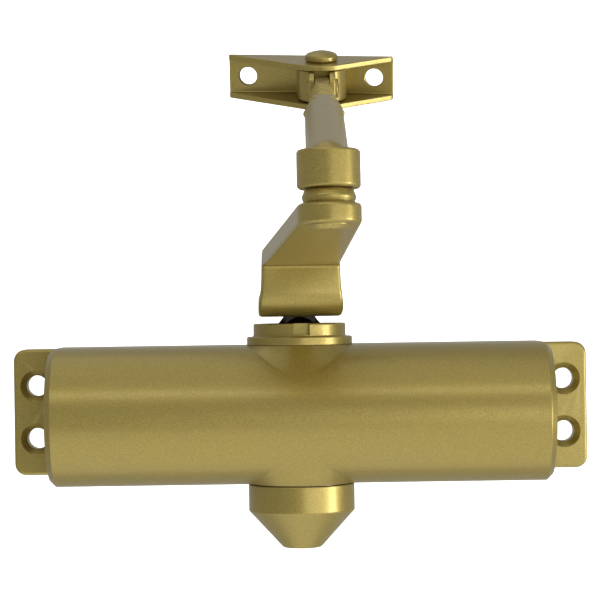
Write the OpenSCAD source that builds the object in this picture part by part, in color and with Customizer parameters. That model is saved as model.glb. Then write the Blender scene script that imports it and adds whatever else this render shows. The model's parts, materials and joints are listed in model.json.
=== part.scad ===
// Surface-mounted rack-and-pinion door closer with a folding two-bar arm.
// Millimetres.  X runs along the body, +Y goes into the door and +Z is up.
// The origin is the centre of the four screw holes, on the face against the door.

/* [Housing] */
// Length of the cast body without its screw lugs
body_len = 176.6; // [170:0.1:220]
// Depth of the body from the door to its rounded front
body_depth = 51; // [50:0.1:62]
// Radius of the rounded front, which is half the body's height
body_r = 24.4; // [24:0.1:30]
// How far the body's middle lies below the middle of the screw holes
body_drop = 1.2; // [0:0.1:3]
// Chamfer around each end of the body
end_chamfer = 2; // [0.5:0.1:3]
// Length over both screw lugs
lug_len = 206.4; // [202:0.1:260]
// Height of the screw lugs
lug_h = 45.4; // [34:0.1:48]
// Thickness of the screw lugs
lug_t = 9.5; // [6:0.1:12]
// Corner radius of the screw lugs
lug_corner = 4.2; // [1:0.1:8]
// Distance between the screw holes along the body
hole_span_x = 190; // [188:0.1:240]
// Distance between the screw holes up the body
hole_span_z = 19; // [16:0.1:28]
// Diameter of the screw holes
hole_d = 7.5; // [5:0.1:8]
// Diameter of the countersinks
countersink_d = 11.6; // [9:0.1:13]
// Radius of the bosses around the spindle, at their faces
boss_r = 19; // [18.8:0.1:22]
// How much wider the bosses are at their feet
boss_flare = 3.2; // [0:0.1:5]
// Height over which the bosses widen
boss_h = 9; // [4:0.1:12]
// Depth of the pockets in the back
pocket_depth = 2.5; // [1:0.1:3.5]

/* [Cylinder] */
// Radius of the piston's bore
bore_r = 17; // [15:0.1:18]
// Distance of the bore's axis from the door
bore_y = 23.5; // [22:0.1:26]
// Radius of the end plugs' seats
plug_r = 18; // [17.2:0.1:19]
// Length of the end plugs
plug_len = 10.5; // [8:0.1:14]
// How far the end plugs sit inside the end faces
plug_recess = 0.8; // [0.2:0.1:2]
// Radius of the two valve screws' holes
valve_r = 2.5; // [2:0.1:3]
// Distance between the two valve screws
valve_gap = 14; // [10:0.1:18]
// Length of the valve screws' threaded stems
valve_len = 14; // [10:0.1:20]

/* [Piston] */
// Length of the piston's head, between the rack window and the springs
head_len = 14; // [12:0.1:18]
// Length of the piston's skirt, beyond the rack window
skirt_len = 35; // [20:0.1:36]
// Radius of the hollow in the skirt
skirt_bore_r = 12; // [8:0.1:14]
// Wire diameter of the outer closing spring
outer_wire = 3.6; // [2.5:0.1:3.8]
// Gap between the cylinder and the outer closing spring
spring_gap = 1.8; // [1:0.1:2.5]
// Turns of the outer closing spring
outer_turns = 6; // [4:1:7]
// Wire diameter of the inner closing spring
inner_wire = 2.2; // [1.5:0.1:2.4]
// Gap between the two closing springs
coil_gap = 2; // [1:0.1:2.6]
// Turns of the inner closing spring
inner_turns = 9; // [6:1:10]

/* [Spindle] */
// Distance of the spindle's axis from the door
spindle_y = 20.5; // [20:0.1:24]
// Radius of the spindle's journals
journal_r = 7.5; // [7:0.1:8]
// Width across the flats of the spindle's squares
square_w = 11; // [9:0.1:11.4]
// Length of the lower square
lower_square_h = 9; // [6:0.1:10]
// Number of teeth on the pinion
teeth = 12; // [12:1:14]
// Tooth size, as pitch diameter over number of teeth
tooth_module = 1.467; // [1.3:0.001:1.5]
// Pressure angle of the teeth
pressure_angle = 25; // [20:1:28]
// Height of the pinion
gear_h = 25; // [18:0.1:26]
// Turn of the spindle from door closed to door fully open
spindle_turn = 165; // [120:1:165]

/* [Bearing nuts and cap] */
// Radius of the threads that hold the bearing nuts
nut_r = 15; // [14:0.1:16]
// Depth of those threads
nut_depth = 6.6; // [5:0.1:7]
// Radius of the upper nut's flange
flange_r = 18.7; // [17:0.1:18.8]
// Height of the upper nut's flange
flange_h = 3.1; // [2:0.1:4]
// Radius of the castellated rings
ring_r = 16.5; // [16:0.1:17.5]
// Height of the castellated rings
ring_h = 4.6; // [3.5:0.1:6]
// Width of the spanner notches
notch_w = 6; // [4:0.1:8]
// Outer radius of the spindle's bearings and seals
bearing_r = 11.5; // [10.5:0.1:12.5]
// Height of the bearings
bearing_h = 6.5; // [4:0.1:6.5]
// Wall of the cap over the lower end of the spindle
cap_wall = 2; // [1.2:0.1:2.2]
// Height of the cap's straight side
cap_side_h = 9.5; // [8:0.1:12]
// Height of the cap's cone
cap_cone_h = 13.2; // [10:0.1:18]
// Radius of the cap's flat end
cap_end_r = 6.75; // [5:0.01:9]

/* [Main arm] */
// Thickness of the flat bar
bar_t = 6; // [5:0.1:8]
// Gap between the upper nut and the arm's hub
neck_h = 2.4; // [1.5:0.1:5]
// Radius of the round end at the spindle
hub_r = 14.5; // [13:0.1:18]
// Distance from the spindle's axis to the front of the upright step
step_reach = 17.5; // [17:0.1:24]
// Rise of the underside across the step
step_h = 17.9; // [15:0.1:30]
// Outside radius of the bend at the hub
hub_bend_r = 9; // [7:0.1:9.4]
// Outside radius of the bend at the top of the step
step_bend_r = 7; // [6.5:0.1:12]
// Length of the bar from the step to the elbow
bar_len = 149.5; // [120:0.1:200]
// Radius of the round end at the elbow
bar_end_r = 9.25; // [8.2:0.01:12]
// Rise of the bar towards the elbow, in degrees
bar_rise = 3.5; // [0:0.1:8]
// Swing of the main arm from square to the door, in degrees
arm_yaw = 3.13; // [0:0.01:20]

/* [Elbow and forearm] */
// Radius of the elbow stud's pin
stud_r = 4; // [3:0.1:4.5]
// Radius of the elbow stud's shoulder
shoulder_r = 7.8; // [6.5:0.1:8.5]
// Height of the elbow stud's shoulder
shoulder_h = 4; // [2:0.1:6]
// Radius of the elbow socket
socket_r = 9.15; // [8.8:0.01:12]
// Height of the elbow socket
socket_h = 11.1; // [10:0.1:14]
// Outer radius of the forearm tube
tube_r = 6.4; // [5.6:0.1:8]
// Length of the forearm tube from the elbow's axis
tube_len = 103.7; // [80:0.1:112]
// Radius of the threaded rod
rod_r = 4; // [3:0.1:4.2]
// Length of rod held inside the tube
rod_tail = 45; // [40:1:55]
// Width across the flats of the lock nut
lock_nut_w = 12; // [11:0.1:14]
// Height of the lock nut
lock_nut_h = 5; // [3:0.1:7]
// Length of the forearm from the elbow's axis to the cross pin
forearm_len = 166.2; // [160:0.1:220]
// Rise of the forearm from the plane of the elbow, in degrees
forearm_rise = 16.6; // [10:0.1:24]
// Swing of the forearm from straight back over the main arm, in degrees
forearm_swing = -3.27; // [-20:0.01:20]

/* [Shoe] */
// Tilt of the knuckle about the cross pin, in degrees
knuckle_tilt = 3.5; // [-10:0.1:10]
// Swivel of the shoe about its pin, in degrees
shoe_yaw = -9.4; // [-30:0.1:30]
// Radius of the knuckle's barrel
barrel_r = 8.8; // [8:0.1:9.4]
// Distance from the shoe pin to the cross pin
pin_gap = 10.5; // [10:0.1:12]
// Radius of the shoe pin's shank
shoe_pin_r = 4; // [3:0.1:4.2]
// Radius of the shoe pin's domed head
pin_head_r = 5.8; // [5:0.1:7]
// Radius of the cross pin
cross_pin_r = 2; // [1.5:0.1:2.2]
// Thickness of the flat tongue on the rod
tongue_t = 5; // [4:0.1:6]
// Thickness of each fork cheek
cheek_t = 2; // [1.5:0.1:3]
// Length of the shoe
shoe_len = 60; // [54:0.1:90]
// Thickness of the shoe's sheet
shoe_t = 2; // [1.5:0.1:3]
// Gap between the shoe's two flanges
shoe_gap = 12; // [12:0.1:16]
// Distance from the shoe pin to the back of the shoe
shoe_reach = 12.3; // [11.5:0.1:20]
// Radius of the flanges' rounded noses
nose_r = 10.5; // [9:0.1:12]
// How far the middle of the shoe sits to the right of its pin
shoe_offset = -5.6; // [-8:0.1:8]
// Distance between the shoe's screw holes
shoe_hole_span = 46.2; // [40:0.1:52]
// Diameter of the shoe's screw holes
shoe_hole_d = 6.5; // [4:0.1:7]

/* [Fits] */
// Radial clearance of what turns or slides in a bore
run_gap = 0.05; // [0.02:0.01:0.09]
// Clearance of what is screwed or pressed in
fit_gap = 0.02; // [0.01:0.01:0.05]
// Gap between faces that move past each other
face_gap = 0.3; // [0.2:0.05:0.6]

/* [Hidden] */
$fn = 64;

GOLD = [0.66, 0.58, 0.33];
STEEL = [0.62, 0.63, 0.64];
IRON = [0.36, 0.37, 0.38];
BLACK = [0.08, 0.08, 0.08];
BRONZE = [0.62, 0.45, 0.22];

eps = 0.01;

// Heights of the body's faces and of what stands on them
body_top = body_r - body_drop;
body_bottom = -body_r - body_drop;
arc_y = body_r - body_depth;
collar_top = body_top + flange_h + ring_h;
hub_z = collar_top + neck_h;

// Spindle hole through the body, wide enough for the pinion to pass
pitch_r = tooth_module * teeth / 2;
gear_r = pitch_r + tooth_module;
root_r = pitch_r - 1.25 * tooth_module;
throat_r = min(gear_r + 1.7, nut_r - 1.5);
tooth_backlash = 0.12;

// The piston's window lets it travel as far as the pinion turns
stroke = pitch_r * spindle_turn * PI / 180;
window_x1 = gear_r + 1.2;
window_x0 = -stroke - window_x1;
head_x1 = window_x1 + head_len;
skirt_x0 = window_x0 - skirt_len;
piston_r = bore_r - run_gap;
outer_spring_r = bore_r - spring_gap - outer_wire / 2;
inner_spring_r = outer_spring_r - (outer_wire + inner_wire) / 2 - coil_gap;
rack_y = -spindle_y - pitch_r;
rack_h = gear_h - 2;
seat_t = 1.5;
plug_x = body_len / 2 - plug_recess - plug_len;

// Bearing, seal and lip, measured outwards from the body's faces
bearing_z0 = face_gap - nut_depth;
seal_z0 = bearing_z0 + bearing_h + face_gap;
seal_h = 2.2;
lip_z = seal_z0 + seal_h + 0.2;
lip_r = journal_r + 0.4;

// Valve screws sit midway through the thick front wall
valve_z = valve_gap / 2;
valve_front = -arc_y + sqrt(pow(body_r, 2) - pow(valve_z, 2));
valve_back = bore_y + sqrt(pow(bore_r, 2) - pow(valve_z, 2));
valve_y = (valve_front + valve_back) / 2 + 0.2;
valve_needle = 6;

// Lower cap, over the lower nut
cap_r = ring_r + face_gap + cap_wall;

// Arm and elbow stack, measured from the bar's underside at the elbow
socket_z = bar_t + shoulder_h + face_gap;
clip_h = 0.9;
clip_z = socket_z + socket_h - 4.1;
elbow_cap_h = 1.5;
bush_r = stud_r + run_gap + 1.4;
clip_room_r = 7;
forearm_z = socket_z + socket_h / 2;

// Knuckle and shoe
barrel_h = shoe_gap - 2 * face_gap;
slot_w = tongue_t + 2 * face_gap;
fork_w = slot_w + 2 * cheek_t;
fork_reach = pin_gap + 4;
tongue_r = 4;
shoe_h = shoe_gap + 2 * shoe_t;

// ---------------------------------------------------------------- helpers

module ring(r_out, r_in, h) {
    difference() {
        cylinder(r = r_out, h = h);
        translate([0, 0, -1]) cylinder(r = r_in, h = h + 2);
    }
}

// Lays a shape drawn along +Z along +X, on the piston's axis
module along_bore(x) {
    translate([x, -bore_y, -body_drop]) rotate([0, 90, 0]) children();
}

// Draws an outline of X and Z into the wall, from y = 0 towards -Y
module from_back(depth) {
    rotate([90, 0, 0]) linear_extrude(depth) children();
}

module rounded_rect(w, h, r) {
    square([w - 2 * r, h], center = true);
    square([w, h - 2 * r], center = true);
    for (sx = [-1, 1], sy = [-1, 1])
        translate([sx * (w / 2 - r), sy * (h / 2 - r)]) circle(r);
}

module chamfered_rect(w, h, c) {
    polygon([
        [-w / 2 + c, -h / 2], [w / 2 - c, -h / 2], [w / 2, -h / 2 + c], [w / 2, h / 2 - c],
        [w / 2 - c, h / 2], [-w / 2 + c, h / 2], [-w / 2, h / 2 - c], [-w / 2, -h / 2 + c]
    ]);
}

// Cylinder with a chamfered edge at the top, the bottom or both
module chamfered_cylinder(r, h, top = 0, bottom = 0) {
    rotate_extrude()
        polygon([
            [0, 0], [r - bottom, 0], [r, bottom], [r, h - top], [r - top, h], [0, h]
        ]);
}

function arc_points(centre, r, a0, a1, steps) = [
    for (i = [0:steps])
        let (a = a0 + (a1 - a0) * i / steps) centre + r * [cos(a), sin(a)]
];

// Point where a line from p touches a circle about the origin, on the side of p
function touch_point(p, r) =
    let (d = norm(p), a = atan2(p[1], p[0]), b = acos(r / d)) r * [cos(a - b), sin(a - b)];

// Closed tube of round wire wound along +Z, with its end turns cut square
module coil_spring(mean_r, wire, h, turns, per_turn, sides) {
    steps = turns * per_turn;
    rise = h - wire;
    points = [
        for (i = [0:steps])
            let (turn = 360 * i / per_turn, z = wire / 2 + rise * i / steps)
                for (k = [0:sides - 1])
                    let (a = 360 * k / sides, r = mean_r + wire / 2 * cos(a))
                        [r * cos(turn), r * sin(turn), z + wire / 2 * sin(a)]
    ];
    last = steps * sides;
    faces = concat(
        [[for (k = [0:sides - 1]) k]],
        [[for (k = [sides - 1:-1:0]) last + k]],
        [
            for (i = [0:steps - 1], k = [0:sides - 1])
                let (n = (k + 1) % sides, a = i * sides, b = a + sides)
                    [a + n, a + k, b + k, b + n]
        ]
    );
    polyhedron(points, faces);
}

// Frames along the arm, each one carried by the one before
module at_top() {
    translate([0, -spindle_y, body_top]) children();
}

module at_bottom() {
    translate([0, -spindle_y, body_bottom]) mirror([0, 0, 1]) children();
}

module at_arm() {
    translate([0, -spindle_y, hub_z]) rotate([0, 0, arm_yaw]) children();
}

module at_elbow() {
    at_arm()
        translate([0, -step_reach, step_h])
            rotate([-bar_rise, 0, 0])
                translate([0, -bar_len, 0]) children();
}

module at_forearm() {
    at_elbow()
        translate([0, 0, forearm_z])
            rotate([0, 0, forearm_swing])
                rotate([forearm_rise, 0, 0]) children();
}

module at_knuckle() {
    at_forearm()
        translate([0, forearm_len, 0])
            rotate([knuckle_tilt, 0, 0])
                translate([0, pin_gap, 0]) children();
}

module at_shoe() {
    at_knuckle() rotate([0, 0, shoe_yaw]) children();
}

// Lays a shape drawn along +Z along the forearm
module along_forearm(start) {
    at_forearm() translate([0, start, 0]) rotate([-90, 0, 0]) children();
}

// ---------------------------------------------------------------- housing

module body_solid() {
    straight = body_len - 2 * end_chamfer;
    small_r = body_r - end_chamfer;
    translate([0, arc_y, -body_drop])
        rotate([0, 90, 0]) {
            cylinder(r = body_r, h = straight, center = true);
            for (end = [0, 1])
                mirror([0, 0, end])
                    translate([0, 0, straight / 2])
                        cylinder(r1 = body_r, r2 = small_r, h = end_chamfer);
        }
    translate([0, 0, -body_drop])
        from_back(-arc_y) chamfered_rect(body_len, 2 * body_r, end_chamfer);
    at_top() boss();
    at_bottom() boss();
}

// Flared boss, cut off flush with the back of the body
module boss() {
    foot_r = boss_r + boss_flare;
    difference() {
        translate([0, 0, -boss_h]) cylinder(r1 = foot_r, r2 = boss_r, h = boss_h);
        translate([-foot_r, spindle_y - eps, -boss_h - 1])
            cube([2 * foot_r, foot_r, boss_h + 2]);
    }
}

module housing() {
    color(GOLD)
        difference() {
            union() {
                body_solid();
                from_back(lug_t) rounded_rect(lug_len, lug_h, lug_corner);
            }
            screw_holes();
            cylinder_bore();
            at_top() spindle_hole();
            at_bottom() spindle_hole();
            for (side = [-1, 1]) valve_hole(side);
            for (side = [-1, 1]) back_pocket(side);
        }
}

module screw_holes() {
    sink = (countersink_d - hole_d) / 2;
    for (sx = [-1, 1], sz = [-1, 1])
        translate([sx * hole_span_x / 2, 0, sz * hole_span_z / 2])
            rotate([90, 0, 0]) {
                translate([0, 0, -1]) cylinder(d = hole_d, h = lug_t + 2);
                translate([0, 0, lug_t - sink])
                    cylinder(d1 = hole_d, d2 = countersink_d + 2 * eps, h = sink + eps);
            }
}

module cylinder_bore() {
    along_bore(-body_len / 2 - 1) cylinder(r = bore_r, h = body_len + 2);
    along_bore(plug_x) cylinder(r = plug_r, h = body_len);
    along_bore(-plug_x) mirror([0, 0, 1]) cylinder(r = plug_r, h = body_len);
}

module spindle_hole() {
    translate([0, 0, -body_r]) cylinder(r = throat_r, h = body_r + 1);
    translate([0, 0, -nut_depth]) cylinder(r = nut_r, h = nut_depth + 1);
}

module at_valve(side) {
    translate([body_len / 2, -valve_y, -body_drop + side * valve_z])
        rotate([0, -90, 0]) children();
}

module valve_hole(side) {
    at_valve(side) {
        translate([0, 0, -1]) cylinder(r = valve_r, h = valve_len + 2);
        cylinder(r = valve_r / 2 + run_gap, h = valve_len + valve_needle + 2);
    }
}

module back_pocket(side) {
    rib = 12;
    margin = 8;
    w = (body_len - rib) / 2 - margin;
    translate([side * (w + rib) / 2, eps, -body_drop])
        from_back(pocket_depth + eps) rounded_rect(w, 2 * (body_r - margin), 4);
}

module end_plug() {
    socket_w = 12;
    difference() {
        chamfered_cylinder(plug_r - fit_gap, plug_len, top = 0.6, bottom = 0.6);
        translate([0, 0, 2.2]) ring(plug_r + 1, plug_r - 1.6, 2.4);
        translate([0, 0, plug_len - 5])
            cylinder(d = socket_w / cos(30), h = 6, $fn = 6);
    }
}

module left_end_plug() {
    color(STEEL) along_bore(-plug_x) mirror([0, 0, 1]) end_plug();
}

module right_end_plug() {
    color(STEEL) along_bore(plug_x) end_plug();
}

module end_plug_o_rings() {
    color(BLACK) {
        along_bore(plug_x + 2.3) ring(plug_r - fit_gap, plug_r - 1.6 + fit_gap, 2.2);
        along_bore(-plug_x - 2.3) mirror([0, 0, 1])
            ring(plug_r - fit_gap, plug_r - 1.6 + fit_gap, 2.2);
    }
}

// ------------------------------------------------- bearing nuts, bearings, seals

module bearing_nut(flange_height) {
    top = flange_height + ring_h;
    notch_depth = 4;
    difference() {
        union() {
            translate([0, 0, -nut_depth]) cylinder(r = nut_r - fit_gap, h = nut_depth + eps);
            if (flange_height > 0)
                chamfered_cylinder(flange_r, flange_height, top = 0.5);
            translate([0, 0, flange_height])
                chamfered_cylinder(ring_r, ring_h, top = 0.5);
        }
        translate([0, 0, -nut_depth - 1]) cylinder(r = bearing_r, h = nut_depth + 1 + lip_z);
        cylinder(r = lip_r, h = top + 1);
        for (a = [0:90:270])
            rotate([0, 0, a + 3])
                translate([-notch_w / 2, -ring_r - 1, flange_height + 0.4])
                    cube([notch_w, notch_depth + 1, ring_h]);
    }
}

module upper_bearing_nut() {
    color(GOLD) at_top() bearing_nut(flange_h);
}

module lower_bearing_nut() {
    color(STEEL) at_bottom() bearing_nut(0);
}

// Needle bearing: a drawn shell with its ring of rollers
module needle_bearing() {
    roller_r = 0.95;
    rollers = 18;
    shell_r = journal_r + run_gap + 2 * roller_r + run_gap;
    ring(bearing_r - fit_gap, shell_r, bearing_h);
    for (i = [0:rollers - 1])
        rotate([0, 0, i * 360 / rollers])
            translate([journal_r + run_gap + roller_r, 0, 0.6])
                cylinder(r = roller_r, h = bearing_h - 1.2, $fn = 24);
}

module upper_bearing() {
    color(STEEL) at_top() translate([0, 0, bearing_z0]) needle_bearing();
}

module lower_bearing() {
    color(STEEL) at_bottom() translate([0, 0, bearing_z0]) needle_bearing();
}

module shaft_seal() {
    translate([0, 0, seal_z0]) ring(bearing_r - fit_gap, journal_r + run_gap, seal_h);
}

module upper_shaft_seal() {
    color(BLACK) at_top() shaft_seal();
}

module lower_shaft_seal() {
    color(BLACK) at_bottom() shaft_seal();
}

module spindle_cap() {
    inner_r = cap_r - cap_wall;
    slope = atan2(cap_r - cap_end_r, cap_cone_h);
    shift = cap_wall * tan((90 - slope) / 2);
    floor_h = cap_side_h + cap_cone_h - cap_wall;
    inner_end_r = inner_r - (floor_h - cap_side_h + shift) * tan(slope);
    color(GOLD)
        at_bottom()
            translate([0, 0, face_gap])
                rotate_extrude()
                    polygon([
                        [inner_r, 0], [cap_r - 0.6, 0], [cap_r, 0.6], [cap_r, cap_side_h],
                        [cap_end_r + 0.6, cap_side_h + cap_cone_h - 0.6],
                        [cap_end_r - 0.4, cap_side_h + cap_cone_h],
                        [0, cap_side_h + cap_cone_h], [0, floor_h],
                        [inner_end_r, floor_h], [inner_r, cap_side_h - shift]
                    ]);
}

// ---------------------------------------------------------------- valve screws

module valve_screw() {
    groove_z = valve_len - 5;
    difference() {
        union() {
            translate([0, 0, 0.6])
                chamfered_cylinder(valve_r - run_gap, valve_len - 0.6, top = 0.4, bottom = 0.4);
            translate([0, 0, valve_len - eps])
                cylinder(r1 = valve_r / 2, r2 = 0.4, h = valve_needle);
        }
        translate([0, 0, groove_z]) ring(valve_r + 1, valve_r - 0.9, 1.8);
        cylinder(d = 3 / cos(30), h = 3, $fn = 6);
    }
}

module valve_o_ring() {
    translate([0, 0, valve_len - 4.9])
        ring(valve_r - run_gap, valve_r - 0.9 + fit_gap, 1.6);
}

module closing_speed_valve() {
    color(BRONZE) at_valve(1) valve_screw();
}

module closing_valve_o_ring() {
    color(BLACK) at_valve(1) valve_o_ring();
}

module latching_speed_valve() {
    color(BRONZE) at_valve(-1) valve_screw();
}

module latching_valve_o_ring() {
    color(BLACK) at_valve(-1) valve_o_ring();
}

// ---------------------------------------------------------------- piston

// Half the outline of one pinion tooth is an involute of the base circle
base_r = pitch_r * cos(pressure_angle);
function involute(r) =
    let (a = acos(base_r / r)) tan(a) * 180 / PI - a;
half_tooth = 90 / teeth + involute(pitch_r) - tooth_backlash / pitch_r * 90 / PI;
function flank(steps) = [
    for (i = [0:steps])
        let (r = max(base_r, root_r) + (gear_r - max(base_r, root_r)) * i / steps)
            [r, half_tooth - involute(r)]
];

module pinion_outline() {
    side = flank(5);
    polygon([
        for (t = [0:teeth - 1])
            let (middle = -90 + t * 360 / teeth)
                for (p = concat(
                    [[root_r, -side[0][1]]],
                    [for (q = side) [q[0], -q[1]]],
                    [for (i = [len(side) - 1:-1:0]) side[i]],
                    [[root_r, side[0][1]]]
                ))
                    p[0] * [cos(middle + p[1]), sin(middle + p[1])]
    ]);
}

// Straight-sided rack that meshes with the pinion, with a space at x = 0
module rack_outline() {
    pitch = PI * tooth_module;
    top = tooth_module;
    foot = 1.25 * tooth_module;
    lean = tan(pressure_angle);
    half = pitch / 4 - tooth_backlash / 2;
    first = ceil((window_x0 + pitch / 2 + 1) / pitch);
    last = floor((window_x1 - pitch / 2 - 1) / pitch) - 1;
    for (i = [first:last])
        translate([(i + 0.5) * pitch, rack_y])
            polygon([
                [-half - foot * lean, -foot - eps], [half + foot * lean, -foot - eps],
                [half - top * lean, top], [-half + top * lean, top]
            ]);
}

module piston() {
    window_front = rack_y - 1.25 * tooth_module;
    window_back = -spindle_y + gear_r + 0.5;
    color(IRON)
        difference() {
            union() {
                difference() {
                    along_bore(skirt_x0) cylinder(r = piston_r, h = head_x1 - skirt_x0);
                    translate([window_x0, window_front, -body_drop - bore_r])
                        cube([
                            window_x1 - window_x0, window_back - window_front, 2 * bore_r
                        ]);
                }
                translate([0, 0, -body_drop - rack_h / 2]) linear_extrude(rack_h) rack_outline();
            }
            along_bore(skirt_x0 - 1) cylinder(r = skirt_bore_r, h = skirt_len - 7);
            for (x = [head_x1 - 8, skirt_x0 + 12])
                along_bore(x) ring(bore_r + 1, piston_r - 1.6, 2.4);
            along_bore(window_x1 - 1) cylinder(r = 1.6, h = head_len + 2);
            along_bore(head_x1 - 9) cylinder(r = 3.3, h = 10);
        }
}

module piston_seals() {
    color(BLACK)
        for (x = [head_x1 - 7.9, skirt_x0 + 12.1])
            along_bore(x) ring(bore_r - 0.03, piston_r - 1.6 + fit_gap, 2.2);
}

module spring_seat() {
    color(STEEL) along_bore(head_x1) ring(bore_r - 0.6, 3.6, seat_t);
}

module check_valve_ball() {
    color(STEEL) along_bore(head_x1 - 9 + 3 + fit_gap) sphere(r = 3);
}

module check_valve_retainer() {
    color(BRONZE) along_bore(head_x1 - 2) ring(3.3 - fit_gap, 1.6, 1.6);
}

module outer_spring() {
    start = head_x1 + seat_t + fit_gap;
    color(STEEL)
        along_bore(start)
            coil_spring(outer_spring_r, outer_wire, plug_x - start - fit_gap, outer_turns, 20, 8);
}

module inner_spring() {
    start = head_x1 + seat_t + fit_gap;
    color(STEEL)
        along_bore(start)
            coil_spring(inner_spring_r, inner_wire, plug_x - start - fit_gap, inner_turns, 16, 8);
}

// ---------------------------------------------------------------- spindle

module square_end(h) {
    intersection() {
        translate([-square_w / 2, -square_w / 2, 0]) cube([square_w, square_w, h]);
        cylinder(r = journal_r - 0.1, h = h);
    }
}

module spindle() {
    gear_z0 = -body_drop - gear_h / 2;
    lower_end = body_bottom - ring_h;
    screw_depth = 16;
    color(STEEL)
        difference() {
            translate([0, -spindle_y, 0]) {
                translate([0, 0, gear_z0]) linear_extrude(gear_h) pinion_outline();
                translate([0, 0, gear_z0 + gear_h - eps])
                    cylinder(r = journal_r, h = collar_top - gear_z0 - gear_h);
                translate([0, 0, collar_top - 2 * eps])
                    cylinder(r1 = journal_r, r2 = square_w / 2, h = neck_h);
                translate([0, 0, collar_top - 2 * eps])
                    rotate([0, 0, arm_yaw]) square_end(neck_h + bar_t - 0.5);
                translate([0, 0, lower_end])
                    cylinder(r = journal_r, h = gear_z0 - lower_end + eps);
                translate([0, 0, lower_end - lower_square_h])
                    square_end(lower_square_h + eps);
            }
            translate([0, -spindle_y, hub_z + bar_t - screw_depth])
                cylinder(r = 3, h = screw_depth + 1);
            translate([0, -spindle_y, lower_end - lower_square_h - 1])
                cylinder(r = 3, h = 9);
        }
}

// ---------------------------------------------------------------- main arm

// Side view of the bent bar: first number outwards from the spindle, second up
function bar_side() =
    let (
        inner_r = hub_bend_r - bar_t,
        bend = [step_reach - hub_bend_r, hub_bend_r],
        rise = tan(bar_rise),
        along = [cos(bar_rise), sin(bar_rise)],
        up = [-sin(bar_rise), cos(bar_rise)],
        crease = [step_reach, step_h],
        crease_r = 1.2,
        far = crease + (bar_len + bar_end_r + 1) * along,
        top_x = step_reach - bar_t + step_bend_r,
        top_z = step_h + (top_x - step_reach) * rise + (bar_t - step_bend_r) / cos(bar_rise)
    )
    concat(
        [[-hub_r - 1, 0]],
        arc_points(bend, hub_bend_r, -90, 0, 12),
        [[step_reach, step_h - crease_r], crease + crease_r * along],
        [far, far + bar_t * up],
        arc_points([top_x, top_z], step_bend_r, 90 + bar_rise, 180, 12),
        arc_points(bend, inner_r, 0, -90, 8),
        [[-hub_r - 1, bar_t]]
    );

// Outline from above: two round ends joined by the straight edges that touch both
module bar_plan() {
    elbow_s = step_reach + bar_len * cos(bar_rise);
    lean = asin((hub_r - bar_end_r) / elbow_s);
    edge = [cos(lean), -sin(lean)];
    hub = hub_r * edge;
    end = bar_end_r * edge - [0, elbow_s];
    circle(hub_r);
    translate([0, -elbow_s]) circle(bar_end_r);
    polygon([hub, end, [-end[0], end[1]], [-hub[0], hub[1]]]);
}

module main_arm() {
    height = step_h + bar_t + (bar_len + bar_end_r) * sin(bar_rise) + 4;
    hole_w = square_w + 2 * fit_gap;
    color(GOLD)
        difference() {
            at_arm()
                intersection() {
                    translate([hub_r + 1, 0, 0])
                        rotate([90, 0, -90])
                            linear_extrude(2 * hub_r + 2) polygon(bar_side());
                    translate([0, 0, -1]) linear_extrude(height) bar_plan();
                }
            at_arm() translate([-hole_w / 2, -hole_w / 2, -1]) cube([hole_w, hole_w, bar_t + 2]);
            at_elbow() translate([0, 0, -1]) cylinder(r = stud_r, h = bar_t + 2);
        }
}

module arm_washer() {
    color(STEEL) at_arm() translate([0, 0, bar_t]) ring(8, 3.2, 1.6);
}

module arm_screw() {
    head_z = bar_t + 1.6;
    color(STEEL)
        at_arm()
            difference() {
                union() {
                    translate([0, 0, head_z]) chamfered_cylinder(5, 5.6, top = 0.5);
                    translate([0, 0, head_z - 16]) cylinder(r = 3 - fit_gap, h = 16 + eps);
                }
                translate([0, 0, head_z + 2.6]) cylinder(d = 5 / cos(30), h = 4, $fn = 6);
            }
}

// ---------------------------------------------------------------- elbow

module elbow_stud() {
    head_h = 1.6;
    pin_top = socket_z + socket_h - 2;
    groove = clip_h + 2 * fit_gap;
    color(GOLD)
        at_elbow()
            difference() {
                union() {
                    translate([0, 0, -head_h]) cylinder(r1 = 5.2, r2 = 6, h = head_h);
                    cylinder(r = stud_r - fit_gap, h = bar_t + eps);
                    translate([0, 0, bar_t])
                        chamfered_cylinder(shoulder_r, shoulder_h, top = 0.3);
                    translate([0, 0, bar_t + shoulder_h - eps])
                        chamfered_cylinder(stud_r, pin_top - bar_t - shoulder_h, top = 0.4);
                }
                translate([0, 0, clip_z - fit_gap]) ring(stud_r + 1, stud_r - 0.6, groove);
            }
}

module elbow_clip() {
    color(STEEL)
        at_elbow()
            translate([0, 0, clip_z])
                difference() {
                    ring(6, stud_r - 0.6 + fit_gap, clip_h);
                    translate([-2.4, 0, -1]) cube([4.8, 10, 3]);
                }
}

module elbow_bush() {
    color(BRONZE)
        at_elbow()
            translate([0, 0, socket_z])
                ring(bush_r - fit_gap, stud_r + run_gap, clip_z - socket_z - 0.7);
}

module elbow_socket() {
    room_z = clip_z - 0.5;
    color(GOLD)
        at_elbow()
            difference() {
                translate([0, 0, socket_z])
                    chamfered_cylinder(socket_r, socket_h, top = 0.7, bottom = 0.7);
                translate([0, 0, socket_z - 1]) cylinder(r = bush_r, h = socket_h);
                translate([0, 0, room_z]) cylinder(r = clip_room_r, h = socket_h);
            }
}

module elbow_cap() {
    color(GOLD)
        at_elbow()
            translate([0, 0, socket_z + socket_h - elbow_cap_h])
                chamfered_cylinder(clip_room_r - fit_gap, elbow_cap_h, top = 0.3);
}

// ---------------------------------------------------------------- forearm

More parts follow.
